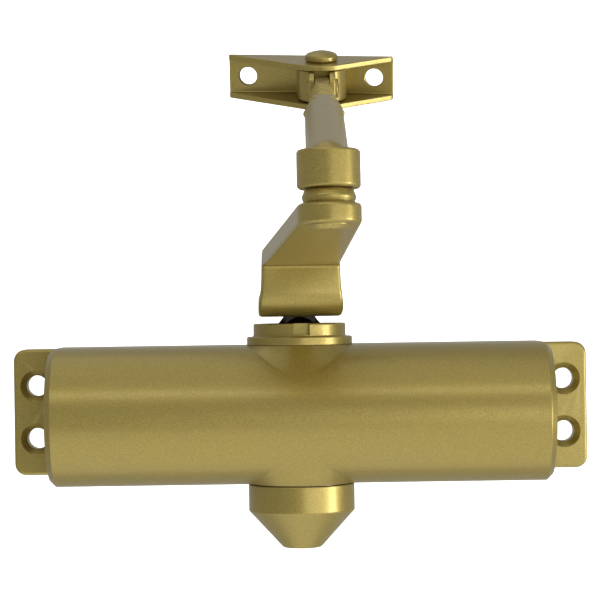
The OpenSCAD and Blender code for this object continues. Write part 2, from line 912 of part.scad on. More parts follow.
module forearm_tube() {
    solid_end = socket_r + 12;
    thread_len = 14;
    color(GOLD)
        difference() {
            along_forearm(0) chamfered_cylinder(tube_r, tube_len, top = 0.5);
            at_elbow()
                translate([0, 0, -10]) cylinder(r = socket_r + fit_gap, h = 60);
            along_forearm(tube_len - thread_len - 1)
                cylinder(r = rod_r + run_gap, h = thread_len + 2);
            along_forearm(solid_end)
                cylinder(r = rod_r + 0.6, h = tube_len - thread_len - solid_end);
        }
}

module lock_nut() {
    color(GOLD)
        along_forearm(tube_len + fit_gap)
            difference() {
                cylinder(d = lock_nut_w / cos(30), h = lock_nut_h, $fn = 6);
                translate([0, 0, -1]) cylinder(r = rod_r + run_gap, h = lock_nut_h + 2);
            }
}

module forearm_rod() {
    neck = 11;
    color(GOLD)
        difference() {
            union() {
                along_forearm(tube_len - rod_tail)
                    chamfered_cylinder(
                        rod_r, forearm_len - neck - tube_len + rod_tail, bottom = 0.5
                    );
                at_forearm()
                    translate([tongue_t / 2, forearm_len, 0])
                        rotate([0, -90, 0])
                            linear_extrude(tongue_t) {
                                circle(tongue_r);
                                translate([-tongue_r, -neck - 2]) square([2 * tongue_r, neck + 2]);
                            }
            }
            at_forearm()
                translate([-tongue_t, forearm_len, 0])
                    rotate([0, 90, 0]) cylinder(r = cross_pin_r + run_gap, h = 2 * tongue_t);
        }
}

// ---------------------------------------------------------------- knuckle and shoe

module knuckle() {
    cheek_round = 3;
    slot_back = shoe_pin_r + 1.9;
    color(GOLD)
        at_knuckle()
            difference() {
                union() {
                    translate([0, 0, -barrel_h / 2])
                        chamfered_cylinder(barrel_r, barrel_h, top = 0.4, bottom = 0.4);
                    translate([fork_w / 2, 0, 0])
                        rotate([0, -90, 0])
                            linear_extrude(fork_w)
                                translate([0, -fork_reach / 2 + cheek_round / 2])
                                    rounded_rect(
                                        barrel_h, fork_reach + cheek_round, cheek_round
                                    );
                }
                translate([0, 0, -barrel_h]) cylinder(r = shoe_pin_r + run_gap, h = 2 * barrel_h);
                translate([-slot_w / 2, -fork_reach - 1, -barrel_h])
                    cube([slot_w, fork_reach + 1 - slot_back, 2 * barrel_h]);
                translate([-fork_w, -pin_gap, 0])
                    rotate([0, 90, 0]) cylinder(r = cross_pin_r, h = 2 * fork_w);
            }
}

module cross_pin() {
    head_t = 1.3;
    tail_t = 0.6;
    color(GOLD)
        at_knuckle()
            translate([-fork_w / 2, -pin_gap, 0])
                rotate([0, 90, 0]) {
                    translate([0, 0, -tail_t]) cylinder(r1 = 2.2, r2 = 2.7, h = tail_t);
                    translate([0, 0, -eps]) cylinder(r = cross_pin_r - fit_gap, h = fork_w + 2 * eps);
                    translate([0, 0, fork_w]) chamfered_cylinder(3.4, head_t, top = 0.4);
                }
}

module shoe_plan() {
    edge = 3;
    right = [shoe_len / 2 + shoe_offset, shoe_reach - edge];
    left = [shoe_len / 2 - shoe_offset, shoe_reach - edge];
    touch_right = touch_point(right, nose_r);
    touch_left = touch_point(left, nose_r);
    circle(nose_r);
    polygon([
        [-left[0], shoe_reach], [-left[0], left[1]], [-touch_left[0], touch_left[1]],
        touch_right, right, [right[0], shoe_reach]
    ]);
}

// Section of the bent sheet: first number towards the frame, second up
module shoe_section() {
    bend_r = shoe_t + 0.6;
    depth = shoe_reach + nose_r + 1;
    difference() {
        union() {
            translate([-nose_r - 1, -shoe_h / 2]) square([depth - bend_r, shoe_h]);
            translate([shoe_reach - bend_r, -shoe_h / 2 + bend_r])
                square([bend_r, shoe_h - 2 * bend_r]);
            for (sz = [-1, 1])
                translate([shoe_reach - bend_r, sz * (shoe_h / 2 - bend_r)]) circle(bend_r);
        }
        translate([-nose_r - 2, -shoe_gap / 2]) square([depth + 1 - shoe_t, shoe_gap]);
    }
}

module shoe_bracket() {
    color(GOLD)
        at_shoe()
            difference() {
                intersection() {
                    translate([shoe_offset - shoe_len / 2, 0, 0])
                        rotate([90, 0, 90]) linear_extrude(shoe_len) shoe_section();
                    translate([0, 0, -shoe_h]) linear_extrude(2 * shoe_h) shoe_plan();
                }
                translate([0, 0, -shoe_h]) cylinder(r = shoe_pin_r, h = 2 * shoe_h);
                for (sx = [-1, 1])
                    translate([shoe_offset + sx * shoe_hole_span / 2, 0, 0])
                        rotate([-90, 0, 0]) cylinder(d = shoe_hole_d, h = 2 * shoe_reach);
            }
}

module shoe_pin() {
    head_side = 1.9;
    dome_h = 1.8;
    dome_r = (pow(pin_head_r, 2) + pow(dome_h, 2)) / (2 * dome_h);
    tail_t = 1;
    color(GOLD)
        at_shoe() {
            translate([0, 0, -shoe_h / 2 - tail_t])
                cylinder(r1 = shoe_pin_r - 0.2, r2 = shoe_pin_r + 1, h = tail_t);
            translate([0, 0, -shoe_h / 2 - eps])
                cylinder(r = shoe_pin_r - fit_gap, h = shoe_h + 2 * eps);
            translate([0, 0, shoe_h / 2]) cylinder(r = pin_head_r, h = head_side);
            translate([0, 0, shoe_h / 2 + head_side - eps])
                intersection() {
                    cylinder(r = pin_head_r, h = dome_h + 1);
                    translate([0, 0, dome_h - dome_r]) sphere(r = dome_r);
                }
        }
}

// ---------------------------------------------------------------- assembly

housing();
left_end_plug();
right_end_plug();
end_plug_o_rings();
upper_bearing_nut();
lower_bearing_nut();
upper_bearing();
lower_bearing();
upper_shaft_seal();
lower_shaft_seal();
outer_spring();
inner_spring();
piston();
piston_seals();
spring_seat();
check_valve_ball();
check_valve_retainer();
closing_speed_valve();
closing_valve_o_ring();
latching_speed_valve();
latching_valve_o_ring();
spindle_cap();
spindle();
main_arm();
arm_washer();
arm_screw();
elbow_stud();
elbow_clip();
elbow_socket();
elbow_bush();
elbow_cap();
forearm_tube();
lock_nut();
forearm_rod();
knuckle();
cross_pin();
shoe_bracket();
shoe_pin();
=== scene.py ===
# %% [markdown]
# # A door closer, piece by piece
# A surface-mounted closer is a cast body with a rack and pinion inside, a cranked main arm on its
# spindle, and a forearm that ends in a swivelling shoe.  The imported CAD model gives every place,
# size and joint.  This script builds the surfaces that show around it: rounded castings, bent
# bars, turned pins and their finishes.

# %% Load the frame
import json
import math
import bmesh
import bpy
from mathutils import Matrix, Vector


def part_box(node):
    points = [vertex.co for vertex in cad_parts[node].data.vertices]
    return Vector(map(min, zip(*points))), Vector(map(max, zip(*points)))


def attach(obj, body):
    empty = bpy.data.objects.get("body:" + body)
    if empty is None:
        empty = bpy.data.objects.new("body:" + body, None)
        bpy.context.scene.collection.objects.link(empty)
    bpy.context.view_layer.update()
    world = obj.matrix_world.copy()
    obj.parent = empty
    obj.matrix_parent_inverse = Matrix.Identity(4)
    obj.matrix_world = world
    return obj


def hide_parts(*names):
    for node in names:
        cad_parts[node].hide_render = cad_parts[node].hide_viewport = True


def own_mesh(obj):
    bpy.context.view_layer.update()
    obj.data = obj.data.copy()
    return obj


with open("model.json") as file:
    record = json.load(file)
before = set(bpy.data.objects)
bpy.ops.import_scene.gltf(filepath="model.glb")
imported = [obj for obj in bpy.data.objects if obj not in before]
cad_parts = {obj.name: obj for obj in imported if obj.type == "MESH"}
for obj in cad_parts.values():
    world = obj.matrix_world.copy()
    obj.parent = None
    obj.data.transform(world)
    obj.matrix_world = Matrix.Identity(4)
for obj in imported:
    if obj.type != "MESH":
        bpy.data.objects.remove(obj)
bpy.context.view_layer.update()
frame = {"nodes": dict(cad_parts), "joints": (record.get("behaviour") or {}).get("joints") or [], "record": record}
MM = 0.001
joints = {joint["name"]: joint for joint in frame["joints"]}
mounts = {mount["name"]: mount for mount in frame["record"]["mounts"]}

# %% [markdown]
# ## Frames to build in
# Each piece is drawn in millimetres about its own axis, where its outline is easiest to think
# about, and then laid into the model once.  The joints say where those axes are, so a frame is
# made from a point, a direction for Z and a direction for X.

# %% Frames from the joints
def frame_at(origin, z_axis, x_hint):
    z = Vector(z_axis).normalized()
    y = z.cross(Vector(x_hint)).normalized()
    x = y.cross(z)
    place = Matrix((x, y, z)).transposed().to_4x4()
    place.translation = Vector(origin)
    return place @ Matrix.Scale(MM, 4)


cross_axis = joints["knuckle_tilt"]["axis"]
reach_axis = Vector(joints["forearm_length"]["axis"])
spindle_at = Vector(joints["spindle_turn"]["pos_m"])
elbow_at = Vector(joints["elbow_turn"]["pos_m"])
arm_side = (elbow_at - spindle_at).cross(Vector((0, 0, -1)))

ROW = Matrix.Scale(MM, 4)
HUB = frame_at(spindle_at, (0, 0, 1), arm_side)
ELBOW = frame_at(elbow_at, joints["elbow_turn"]["axis"], cross_axis)
FOREARM = frame_at(elbow_at, reach_axis, cross_axis)
KNUCKLE = frame_at(joints["shoe_swivel"]["pos_m"], joints["shoe_swivel"]["axis"], cross_axis)
shoe_side = Vector(mounts["shoe_back"]["axis"]).cross(Vector(joints["shoe_swivel"]["axis"]))
SHOE = frame_at(joints["shoe_swivel"]["pos_m"], joints["shoe_swivel"]["axis"], shoe_side)
reach = (Vector(joints["knuckle_tilt"]["pos_m"]) - elbow_at).length / MM
print(f"forearm from elbow to cross pin: {reach:.1f} mm")

# %% [markdown]
# Some sizes are easier to measure than to repeat.  The springs stand between the faces of other
# pieces, so the ends of a CAD node's box are read here in millimetres.

# %% Sizes read from the CAD nodes
def low_of(node):
    return [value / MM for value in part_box(node)[0]]


def high_of(node):
    return [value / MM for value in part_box(node)[1]]


# %% [markdown]
# ## Outlines with rounded corners
# Nothing on a real casting or a pressed part has a knife edge.  An outline is given as a few
# corners, each with its own radius, and this turns the corners into arcs.  The same helper draws
# turned profiles, plates and the section of an edge.

# %% Rounded outlines
def rounded(corners, closed=True, steps=6):
    points = []
    count = len(corners)
    for i, (x, y, radius) in enumerate(corners):
        here = Vector((x, y))
        is_end = not closed and i in (0, count - 1)
        if radius <= 0 or is_end:
            points.append(here)
            continue
        back = (Vector(corners[i - 1][:2]) - here).normalized()
        ahead = (Vector(corners[(i + 1) % count][:2]) - here).normalized()
        half = back.angle(ahead) / 2
        centre = here + (back + ahead).normalized() * radius / math.sin(half)
        first = here + back * radius / math.tan(half) - centre
        last = here + ahead * radius / math.tan(half) - centre
        turn = math.atan2(first.x * last.y - first.y * last.x, first.dot(last))
        for k in range(steps + 1):
            a = turn * k / steps
            spin = Vector((
                first.x * math.cos(a) - first.y * math.sin(a),
                first.x * math.sin(a) + first.y * math.cos(a),
            ))
            points.append(centre + spin)
    return points


def arc(cx, cy, radius, start, end, steps):
    angles = [math.radians(start + (end - start) * k / steps) for k in range(steps + 1)]
    return [Vector((cx + radius * math.cos(a), cy + radius * math.sin(a))) for a in angles]


def inset(outline, amount):
    """The outline moved inwards; it runs anticlockwise."""
    moved = []
    for i, here in enumerate(outline):
        before = (here - outline[i - 1]).normalized()
        after = (outline[(i + 1) % len(outline)] - here).normalized()
        n1 = Vector((-before.y, before.x))
        n2 = Vector((-after.y, after.x))
        moved.append(here + (n1 + n2) * amount / (1 + n1.dot(n2)))
    return moved


# %% [markdown]
# ## Three ways to make a solid
# A turned part is a profile spun round an axis.  A plate or a section is an outline pushed
# through a height, with its rims rounded by a stack of slightly inset copies.  Boolean cuts then
# make the holes, as a drill would.

# %% Turned parts
def new_piece(name, bm):
    bmesh.ops.remove_doubles(bm, verts=bm.verts, dist=1e-5)
    bmesh.ops.recalc_face_normals(bm, faces=bm.faces)
    mesh = bpy.data.meshes.new(name)
    bm.to_mesh(mesh)
    bm.free()
    piece = bpy.data.objects.new(name, mesh)
    bpy.context.scene.collection.objects.link(piece)
    return piece


def turned(name, profile, segments=96, ring=False):
    """Spins a list of (radius, height) about Z; a ring's profile closes on itself."""
    bm = bmesh.new()
    rows = []
    for radius, height in profile:
        if radius < 1e-6:
            rows.append([bm.verts.new((0, 0, height))] * segments)
            continue
        spots = arc(0, 0, radius, 0, 360, segments)[:-1]
        rows.append([bm.verts.new((spot.x, spot.y, height)) for spot in spots])
    pairs = list(zip(rows, rows[1:]))
    if ring:
        pairs.append((rows[-1], rows[0]))
    for low, high in pairs:
        for i in range(segments):
            j = (i + 1) % segments
            corners = list(dict.fromkeys((low[i], low[j], high[j], high[i])))
            if len(corners) > 2:
                bm.faces.new(corners)
    return new_piece(name, bm)


# %% [markdown]
# A plate's rim could be rounded with a bevel modifier, but on an outline with many short sides a
# bevel can pinch.  A stack of inset copies of the outline can't, and it costs few faces.

# %% Prisms with rounded rims
def round_edge(radius, steps=5):
    """A rim's section as (depth, inset) from the face inwards."""
    if radius <= 0:
        return [(0, 0)]
    turns = [math.pi / 2 * k / steps for k in range(steps + 1)]
    return [(radius * (1 - math.cos(a)), radius * (1 - math.sin(a))) for a in turns]


def prism(name, outline, low, high, low_edge=((0, 0),), high_edge=((0, 0),)):
    bm = bmesh.new()
    layers = [(low + depth, side) for depth, side in low_edge]
    layers += [(high - depth, side) for depth, side in reversed(high_edge)]
    rows = []
    for height, side in layers:
        rows.append([bm.verts.new((p.x, p.y, height)) for p in inset(outline, side)])
    for lower, upper in zip(rows, rows[1:]):
        for i in range(len(outline)):
            j = (i + 1) % len(outline)
            bm.faces.new((lower[i], lower[j], upper[j], upper[i]))
    bm.faces.new(list(reversed(rows[0])))
    bm.faces.new(rows[-1])
    return new_piece(name, bm)


# %% [markdown]
# A boolean is applied at once by reading the evaluated mesh, and its tool is then deleted.  What is
# left is a plain mesh, which the next cut can take as it is.

# %% Boolean cuts
def evaluated_mesh(piece):
    bpy.context.view_layer.update()
    graph = bpy.context.evaluated_depsgraph_get()
    return bpy.data.meshes.new_from_object(piece.evaluated_get(graph))


def combine(piece, tool, operation="DIFFERENCE"):
    """Cuts, joins or intersects piece with tool, and uses the tool up."""
    cut = piece.modifiers.new("cut", "BOOLEAN")
    cut.operation = operation
    cut.solver = "EXACT"
    cut.object = tool
    mesh = evaluated_mesh(piece)
    piece.modifiers.remove(cut)
    piece.data = mesh
    bpy.data.objects.remove(tool)
    return piece


def moved(piece, matrix):
    piece.data.transform(matrix)
    return piece


# %% [markdown]
# Plates, slots and pockets are rectangles with round corners, and nuts and key sockets are
# hexagons.  A hexagon is given by its size across the flats, as a spanner is.

# %% Outlines used more than once
def flat_rect(w, h, radius, cx=0, cy=0):
    return rounded([
        (cx - w / 2, cy - h / 2, radius), (cx + w / 2, cy - h / 2, radius),
        (cx + w / 2, cy + h / 2, radius), (cx - w / 2, cy + h / 2, radius),
    ])


def hexagon(across, softness=0.25):
    corner = across / 2 / math.cos(math.pi / 6)
    return rounded([(p.x, p.y, softness) for p in arc(0, 0, corner, 0, 300, 5)], steps=3)


# %% [markdown]
# ## Finishes
# The arm and body are sprayed with a satin metallic paint.  Close up it is not one colour: fine
# metal flakes catch the light one by one, the film has a faint orange-peel, and the edges are
# painted a little lighter, a painted highlight with a touch of edge wear.  The flakes and the film
# are made from noise on object coordinates, so a pattern stays with its piece.

# %% Material helpers
def shader(name, colour, metallic, roughness, **sockets):
    material = bpy.data.materials.new(name)
    material.use_nodes = True
    nodes = material.node_tree.nodes
    principled = nodes["Principled BSDF"]
    principled.inputs["Base Color"].default_value = (*colour, 1)
    principled.inputs["Metallic"].default_value = metallic
    principled.inputs["Roughness"].default_value = roughness
    for label, value in sockets.items():
        principled.inputs[label.replace("_", " ")].default_value = value
    return material, principled


def noise(material, scale, detail=2.0, stretch=(1, 1, 1)):
    tree = material.node_tree
    where = tree.nodes.new("ShaderNodeTexCoord")
    mapping = tree.nodes.new("ShaderNodeMapping")
    mapping.inputs["Scale"].default_value = stretch
    texture = tree.nodes.new("ShaderNodeTexNoise")
    texture.inputs["Scale"].default_value = scale
    texture.inputs["Detail"].default_value = detail
    tree.links.new(where.outputs["Object"], mapping.inputs["Vector"])
    tree.links.new(mapping.outputs["Vector"], texture.inputs["Vector"])
    return texture.outputs["Fac"]


def ramp(material, factor, stops):
    node = material.node_tree.nodes.new("ShaderNodeValToRGB")
    material.node_tree.links.new(factor, node.inputs["Fac"])
    keys = node.color_ramp.elements
    while len(keys) < len(stops):
        keys.new(0.5)
    for key, (position, colour) in zip(keys, stops):
        key.position = position
        key.color = (*colour, 1)
    return node.outputs["Color"]


def remap(material, factor, low, high):
    node = material.node_tree.nodes.new("ShaderNodeMapRange")
    node.inputs["From Min"].default_value = 0.3
    node.inputs["From Max"].default_value = 0.7
    node.inputs["To Min"].default_value = low
    node.inputs["To Max"].default_value = high
    material.node_tree.links.new(factor, node.inputs["Value"])
    return node.outputs["Result"]


def blend_colours(material, factor, first, second, mode="MIX"):
    tree = material.node_tree
    mix = tree.nodes.new("ShaderNodeMix")
    mix.data_type = "RGBA"
    mix.blend_type = mode
    for socket, value in ((0, factor), (6, first), (7, second)):
        if isinstance(value, bpy.types.NodeSocket):
            tree.links.new(value, mix.inputs[socket])
        else:
            mix.inputs[socket].default_value = value
    return mix.outputs[2]


def bump(material, principled, height, strength, distance, under=None):
    node = material.node_tree.nodes.new("ShaderNodeBump")
    node.inputs["Strength"].default_value = strength
    node.inputs["Distance"].default_value = distance
    tree = material.node_tree
    tree.links.new(height, node.inputs["Height"])
    if under is not None:
        tree.links.new(under, node.inputs["Normal"])
    tree.links.new(node.outputs["Normal"], principled.inputs["Normal"])
    return node.outputs["Normal"]


# %% [markdown]
# Sprayed gold could be one flat colour, but then it looks like plastic.  Noise of three sizes does
# the work instead: fine flakes, a faint orange-peel in the film, and slow clouds between a warmer
# and a cooler gold.  It is not quite a metal, because clear lacquer lies over the flakes.

# %% Gold metallic paint
FLAKE = 2600
PEEL = 420
CLOUD = 26


def gold_paint(name, tint, peel_strength=0.10):
    material, principled = shader(
        name, tint, metallic=0.78, roughness=0.36, Coat_Weight=0.35, Coat_Roughness=0.22,
    )
    dark, light = [c * 0.80 for c in tint], [min(1, c * 1.22) for c in tint]
    flakes = ramp(material, noise(material, FLAKE, 1.0), [(0.36, dark), (0.5, tint), (0.68, light)])
    warm = [tint[0] * 1.04, tint[1], tint[2] * 0.86]
    cool = [tint[0] * 0.97, tint[1], tint[2] * 1.12]
    clouds = ramp(material, noise(material, CLOUD, 3.0), [(0.3, cool), (0.7, warm)])
    colour = blend_colours(material, 0.35, flakes, clouds)
    # The rims are painted lighter where the mesh is pointy: a painted highlight along the edges, with a touch of
    # edge wear.
    edge_sheen_and_wear = material.node_tree.nodes.new("ShaderNodeNewGeometry").outputs["Pointiness"]
    rim = ramp(material, edge_sheen_and_wear, [(0.52, (0, 0, 0)), (0.60, (0.35, 0.35, 0.35))])
    bright = (*[min(1, c * 1.35 + 0.04) for c in tint], 1)
    colour = blend_colours(material, rim, colour, bright)
    tree = material.node_tree
    tree.links.new(colour, principled.inputs["Base Color"])
    tree.links.new(remap(material, noise(material, FLAKE * 0.6), 0.31, 0.43),
                   principled.inputs["Roughness"])
    peel = bump(material, principled, noise(material, PEEL, 2.0), peel_strength, 0.0002)
    bump(material, principled, noise(material, FLAKE, 0.0), 0.16, 0.00004, under=peel)
    return material


GOLD = (0.350, 0.270, 0.068)
body_gold = gold_paint("gold_paint_casting", GOLD)
arm_gold = gold_paint("gold_paint_pressed", [c * 1.04 for c in GOLD], peel_strength=0.06)

# %% [markdown]
# Bare steel differs from paint in scale and direction: a turned pin shows fine rings, and a ground
# bar shows streaks along one way.  Stretching the noise along an axis is enough to make the
# streaks.  The spindle is painted nearly black, a painted shade for the shadow it stands in under the hub.

# %% Steel, iron, bronze and rubber
def metal(name, colour, roughness, scale, stretch=(1, 1, 1), spread=0.12, strength=0.08):
    material, principled = shader(name, colour, metallic=1.0, roughness=roughness)
    grain = noise(material, scale, 3.0, stretch)
    dark, light = [c * (1 - spread) for c in colour], [min(1, c * (1 + spread)) for c in colour]
    tree = material.node_tree
    tree.links.new(ramp(material, grain, [(0.3, dark), (0.7, light)]),
                   principled.inputs["Base Color"])
    tree.links.new(remap(material, grain, roughness * 0.85, roughness * 1.2),
                   principled.inputs["Roughness"])
    bump(material, principled, grain, strength, 0.0001)
    return material


ground_steel = metal("ground_steel", (0.42, 0.41, 0.39), 0.30, 900, (1, 1, 0.06))
painted_shade_steel = metal("blackened_steel", (0.045, 0.041, 0.036), 0.42, 700, (1, 1, 0.1), spread=0.2)
spring_steel = metal("spring_steel", (0.20, 0.19, 0.18), 0.38, 700)
cast_iron = metal("cast_iron", (0.22, 0.22, 0.22), 0.48, 1400, spread=0.25, strength=0.2)
bronze = metal("turned_bronze", (0.50, 0.31, 0.12), 0.32, 900, (1, 0.1, 1))


def soft_rubber():
    material, principled = shader(
        "seal_rubber", (0.018, 0.018, 0.019), metallic=0.0, roughness=0.62,
    )
    mottle = noise(material, 900, 3.0)
    material.node_tree.links.new(
        ramp(material, mottle, [(0.3, (0.012, 0.012, 0.013)), (0.7, (0.03, 0.03, 0.031))]),
        principled.inputs["Base Color"])
    bump(material, principled, mottle, 0.2, 0.0001)
    return material


rubber = soft_rubber()

# %% [markdown]
# ## Putting a finished piece in its place
# A finished piece is moved into the model's frame, smoothed up to a fixed crease angle and given
# weighted normals, which keep big flat faces flat beside small rounded edges.  It then rides on
# the CAD body that moves it, and the CAD nodes it stands for are hidden.

# %% Finish and place a piece
def settle(piece, place, body, material, nodes=(), crease=38):
    mesh = piece.data
    mesh.transform(place)
    mesh.materials.clear()
    mesh.materials.append(material)
    mesh.shade_smooth()
    mesh.set_sharp_from_angle(angle=math.radians(crease))
    weighted = piece.modifiers.new("weighted_normals", "WEIGHTED_NORMAL")
    weighted.keep_sharp = True
    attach(piece, body)
    if nodes:
        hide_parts(*nodes)
    print(f"{piece.name}: {len(mesh.polygons)} faces on {body}")
    return piece


# %% [markdown]
# ## The cast body
# The body is a short extrusion with a half-round front, and a lug plate behind it that carries
# the screws.  Around the spindle it swells into a flared boss above and below.  Each part is made
# with its own rims and the parts are joined, then the bores, screw holes and back pockets are cut.

# %% Sizes of the cast body
body_len, body_half_h, front_y = 176.6, 24.4, -26.6
body_mid_z = -1.2
lug_len, lug_h, lug_t, lug_corner = 206.4, 45.4, 9.5, 4.2
hole_x, hole_z, hole_r, sink_r = 95.0, 9.5, 3.75, 5.8
spindle_y = spindle_at.y / MM
body_top, body_bottom = body_mid_z + body_half_h, body_mid_z - body_half_h
back_y = -0.06
end_chamfer, chamfer_ease = 2.0, 0.7
ALONG_X = Matrix(((0, 0, 1, 0), (1, 0, 0, 0), (0, 1, 0, 0), (0, 0, 0, 1)))
INTO_WALL = Matrix(((1, 0, 0, 0), (0, 0, -1, 0), (0, 1, 0, 0), (0, 0, 0, 1)))


def at(x=0, y=0, z=0):
    return Matrix.Translation((x, y, z))


# %% [markdown]
# The shell could be a cylinder joined to a box.  One outline with a half-round front, pushed along
# X, gives the same form without a seam.  The machined chamfer at each end has its two edges eased.

# %% Body shell
def soft_chamfer(size, softness):
    """A chamfered rim with both of its own edges eased."""
    corners = [(0, size + 2, 0), (0, size, softness), (size, 0, softness), (size + 2, 0, 0)]
    section = rounded(corners, closed=False, steps=4)[1:-1]
    return [(max(p.x, 0), max(p.y, 0)) for p in section]


def body_shell():
    front = arc(front_y, 0, body_half_h, 90, 270, 72)
    corners = [(back_y, -body_half_h, 0), (back_y, body_half_h, 0)]
    corners += [(p.x, p.y, 0) for p in front]
    rim = soft_chamfer(end_chamfer, chamfer_ease)
    shell = prism("body_casting", rounded(corners), -body_len / 2, body_len / 2, rim, rim)
    return moved(shell, at(z=body_mid_z) @ ALONG_X)


# %% [markdown]
# The boss is the one free-form part of the casting.  A plain cylinder would leave a hard line where
# it meets the body, and a bevel along that curved line is fragile.  So each angle round the spindle
# gets a curve of its own, which leaves the wall of the boss steeply and lands flat on the body.

# %% Boss with a swept foot
boss_wall, boss_floor = 18.9, 5.0
boss_spread, spread_per_drop = 2.0, 1.6
boss_start, boss_end = (0.35, -0.45), 1.2


def skin(radius, angle):
    """Height of the body's outside over its middle, straight ahead of the spindle at angle 0."""
    ahead = min(0.0, spindle_y - radius * math.cos(angle) - front_y)
    return math.sqrt(max(body_half_h ** 2 - ahead ** 2, 0.0))


def sweep_out(angle, steps=10):
    """The boss's section at one angle: down from its face, then out onto the body."""
    drop = body_half_h - skin(boss_wall, angle)
    end = boss_wall + boss_spread + spread_per_drop * drop
    slope = Vector((0.1, skin(end + 0.1, angle) - skin(end, angle))).normalized()
    first = Vector((boss_wall, body_half_h - 0.01))
    last = Vector((end, skin(end, angle) - 0.03))
    chord = (last - first).length
    down, out = Vector(boss_start) * chord, slope * boss_end * chord
    section = []
    for k in range(steps + 1):
        t = k / steps
        section.append(
            first * (2 * t ** 3 - 3 * t ** 2 + 1) + down * (t ** 3 - 2 * t ** 2 + t)
            + last * (3 * t ** 2 - 2 * t ** 3) + out * (t ** 3 - t ** 2))
    return section + [last + Vector((1.0, -1.8)), Vector((last.x + 1.0, boss_floor))]


def facing(piece):
    """Mirroring turns faces inside out, so their normals are worked out again."""
    bm = bmesh.new()
    bm.from_mesh(piece.data)
    bmesh.ops.recalc_face_normals(bm, faces=bm.faces)
    bm.to_mesh(piece.data)
    bm.free()
    return piece


def boss(side, segments=120):
    """A round boss that runs into the half-round front in one soft sweep."""
    bm = bmesh.new()
    columns = []
    for i in range(segments):
        angle = 2 * math.pi * i / segments
        columns.append([
            bm.verts.new((p.x * math.sin(angle), spindle_y - p.x * math.cos(angle), p.y))
            for p in sweep_out(angle)])
    for i in range(segments):
        here, after = columns[i - 1], columns[i]
        for k in range(len(here) - 1):
            bm.faces.new((here[k], here[k + 1], after[k + 1], after[k]))
    bm.faces.new([column[0] for column in columns])
    bm.faces.new([column[-1] for column in columns])
    piece = new_piece("boss", bm)
    behind = prism("behind", flat_rect(80, 40, 0, cy=20 + back_y - 0.01), -30, 30)
    combine(piece, behind)
    return facing(moved(piece, at(z=body_mid_z) @ Matrix.Diagonal((1, 1, side, 1))))


# %% [markdown]
# Both lugs are one plate behind the body.  Its countersunk holes are cut with turned tools that
# have the shape of the screw that will sit in them.

# %% Lugs and screw holes
def lug_plate():
    outline = flat_rect(lug_len, lug_h, lug_corner)
    plate = prism("lugs", outline, 0, lug_t, round_edge(0.4, 3), round_edge(1.1))
    return moved(plate, INTO_WALL)


def screw_hole(x, z):
    profile = rounded([
        (0, -2, 0), (hole_r + 0.8, -1.1, 0), (hole_r, 0.5, 0.3), (hole_r, lug_t - 2.05, 0.3),
        (sink_r, lug_t, 0.3), (sink_r + 0.5, lug_t + 0.3, 0), (sink_r + 0.5, 30, 0), (0, 30, 0),
    ], closed=False, steps=3)
    return moved(turned("hole", profile, 64), at(x, 0, z) @ INTO_WALL)


# %% [markdown]
# Each cutter is drawn like the tool that makes the hole: stepped drills for the cylinder, the
# spindle and the valves, and a round-cornered mill for the pockets that save metal at the back.

# %% Cutters for the bores and pockets
bore_y, bore_r, plug_r, plug_x = -23.5, 17.0, 18.0, 77.0
throat_r, nut_r, nut_depth = 11.97, 15.0, 6.6
pocket_len, pocket_h, pocket_x, pocket_depth = 74.3, 32.8, 43.15, 2.5
valve_y, valve_depth = joints["closing_valve_turn"]["pos_m"][1] / MM, 22
valve_zs = [joints[name]["pos_m"][2] / MM for name in ("closing_valve_turn", "latching_valve_turn")]


def bore_cutter():
    end = body_len / 2
    mouth_r = plug_r + 1.0
    half = [(plug_r, plug_x), (plug_r, end - 0.5), (mouth_r, end + 0.5), (mouth_r, end + 4)]
    profile = [(0, -end - 4)] + [(r, -x) for r, x in reversed(half)]
    profile += [(bore_r, -plug_x), (bore_r, plug_x)] + half + [(0, end + 4)]
    return moved(turned("bore", profile), at(0, bore_y, body_mid_z) @ ALONG_X)


def spindle_cutter():
    top, bottom = body_top, body_bottom
    profile = [
        (0, bottom - 3), (nut_r, bottom - 3), (nut_r, bottom + nut_depth),
        (throat_r, bottom + nut_depth), (throat_r, top - nut_depth),
        (nut_r, top - nut_depth), (nut_r, top + 3), (0, top + 3),
    ]
    return moved(turned("spindle_hole", profile), at(0, spindle_y, 0))


def valve_cutter(z):
    profile = [
        (0, 0), (1.3, 0), (1.3, 7), (2.5, 7), (2.5, 21.6), (3.0, 22.2), (3.0, 26), (0, 26),
    ]
    start = body_len / 2 - valve_depth
    return moved(turned("valve_hole", profile, 32), at(start, valve_y, z) @ ALONG_X)


def pocket_cutter(side):
    outline = flat_rect(pocket_len, pocket_h, 4, cx=side * pocket_x, cy=body_mid_z)
    cutter = prism("pocket", outline, -4, pocket_depth, high_edge=round_edge(0.8, 3))
    return moved(cutter, INTO_WALL)


# %% [markdown]
# Everything solid is joined first, so that each cut goes through one closed casting.  The exact
# solver is slower than the fast one, and it copes with the close faces behind the boss.

# %% Join and cut the casting
casting = body_shell()
for part in (lug_plate(), boss(1), boss(-1)):
    combine(casting, part, "UNION")
cutters = [bore_cutter(), spindle_cutter(), pocket_cutter(-1), pocket_cutter(1)]
cutters += [valve_cutter(z) for z in valve_zs]
cutters += [screw_hole(sx * hole_x, sz * hole_z) for sx in (-1, 1) for sz in (-1, 1)]
for cutter in cutters:
    combine(casting, cutter)
settle(casting, ROW, "housing", body_gold, ["housing"])

# %% [markdown]
# ## Rings of notches and ribs
# A bearing nut has notches for a hook spanner, and a socket screw has a knurled head.  Both are
# one small shape repeated round a circle, which is what Geometry Nodes do well: a mesh circle
# gives the places, each instance is turned to face outwards, and the result is made real.

# %% A ring of copies as Geometry Nodes
def add_node(group, kind, **values):
    node = group.nodes.new(kind)
    for label, value in values.items():
        socket = node.inputs[label.replace("_", " ")]
        if isinstance(value, bpy.types.NodeSocket):
            group.links.new(value, socket)
        else:
            socket.default_value = value
    return node


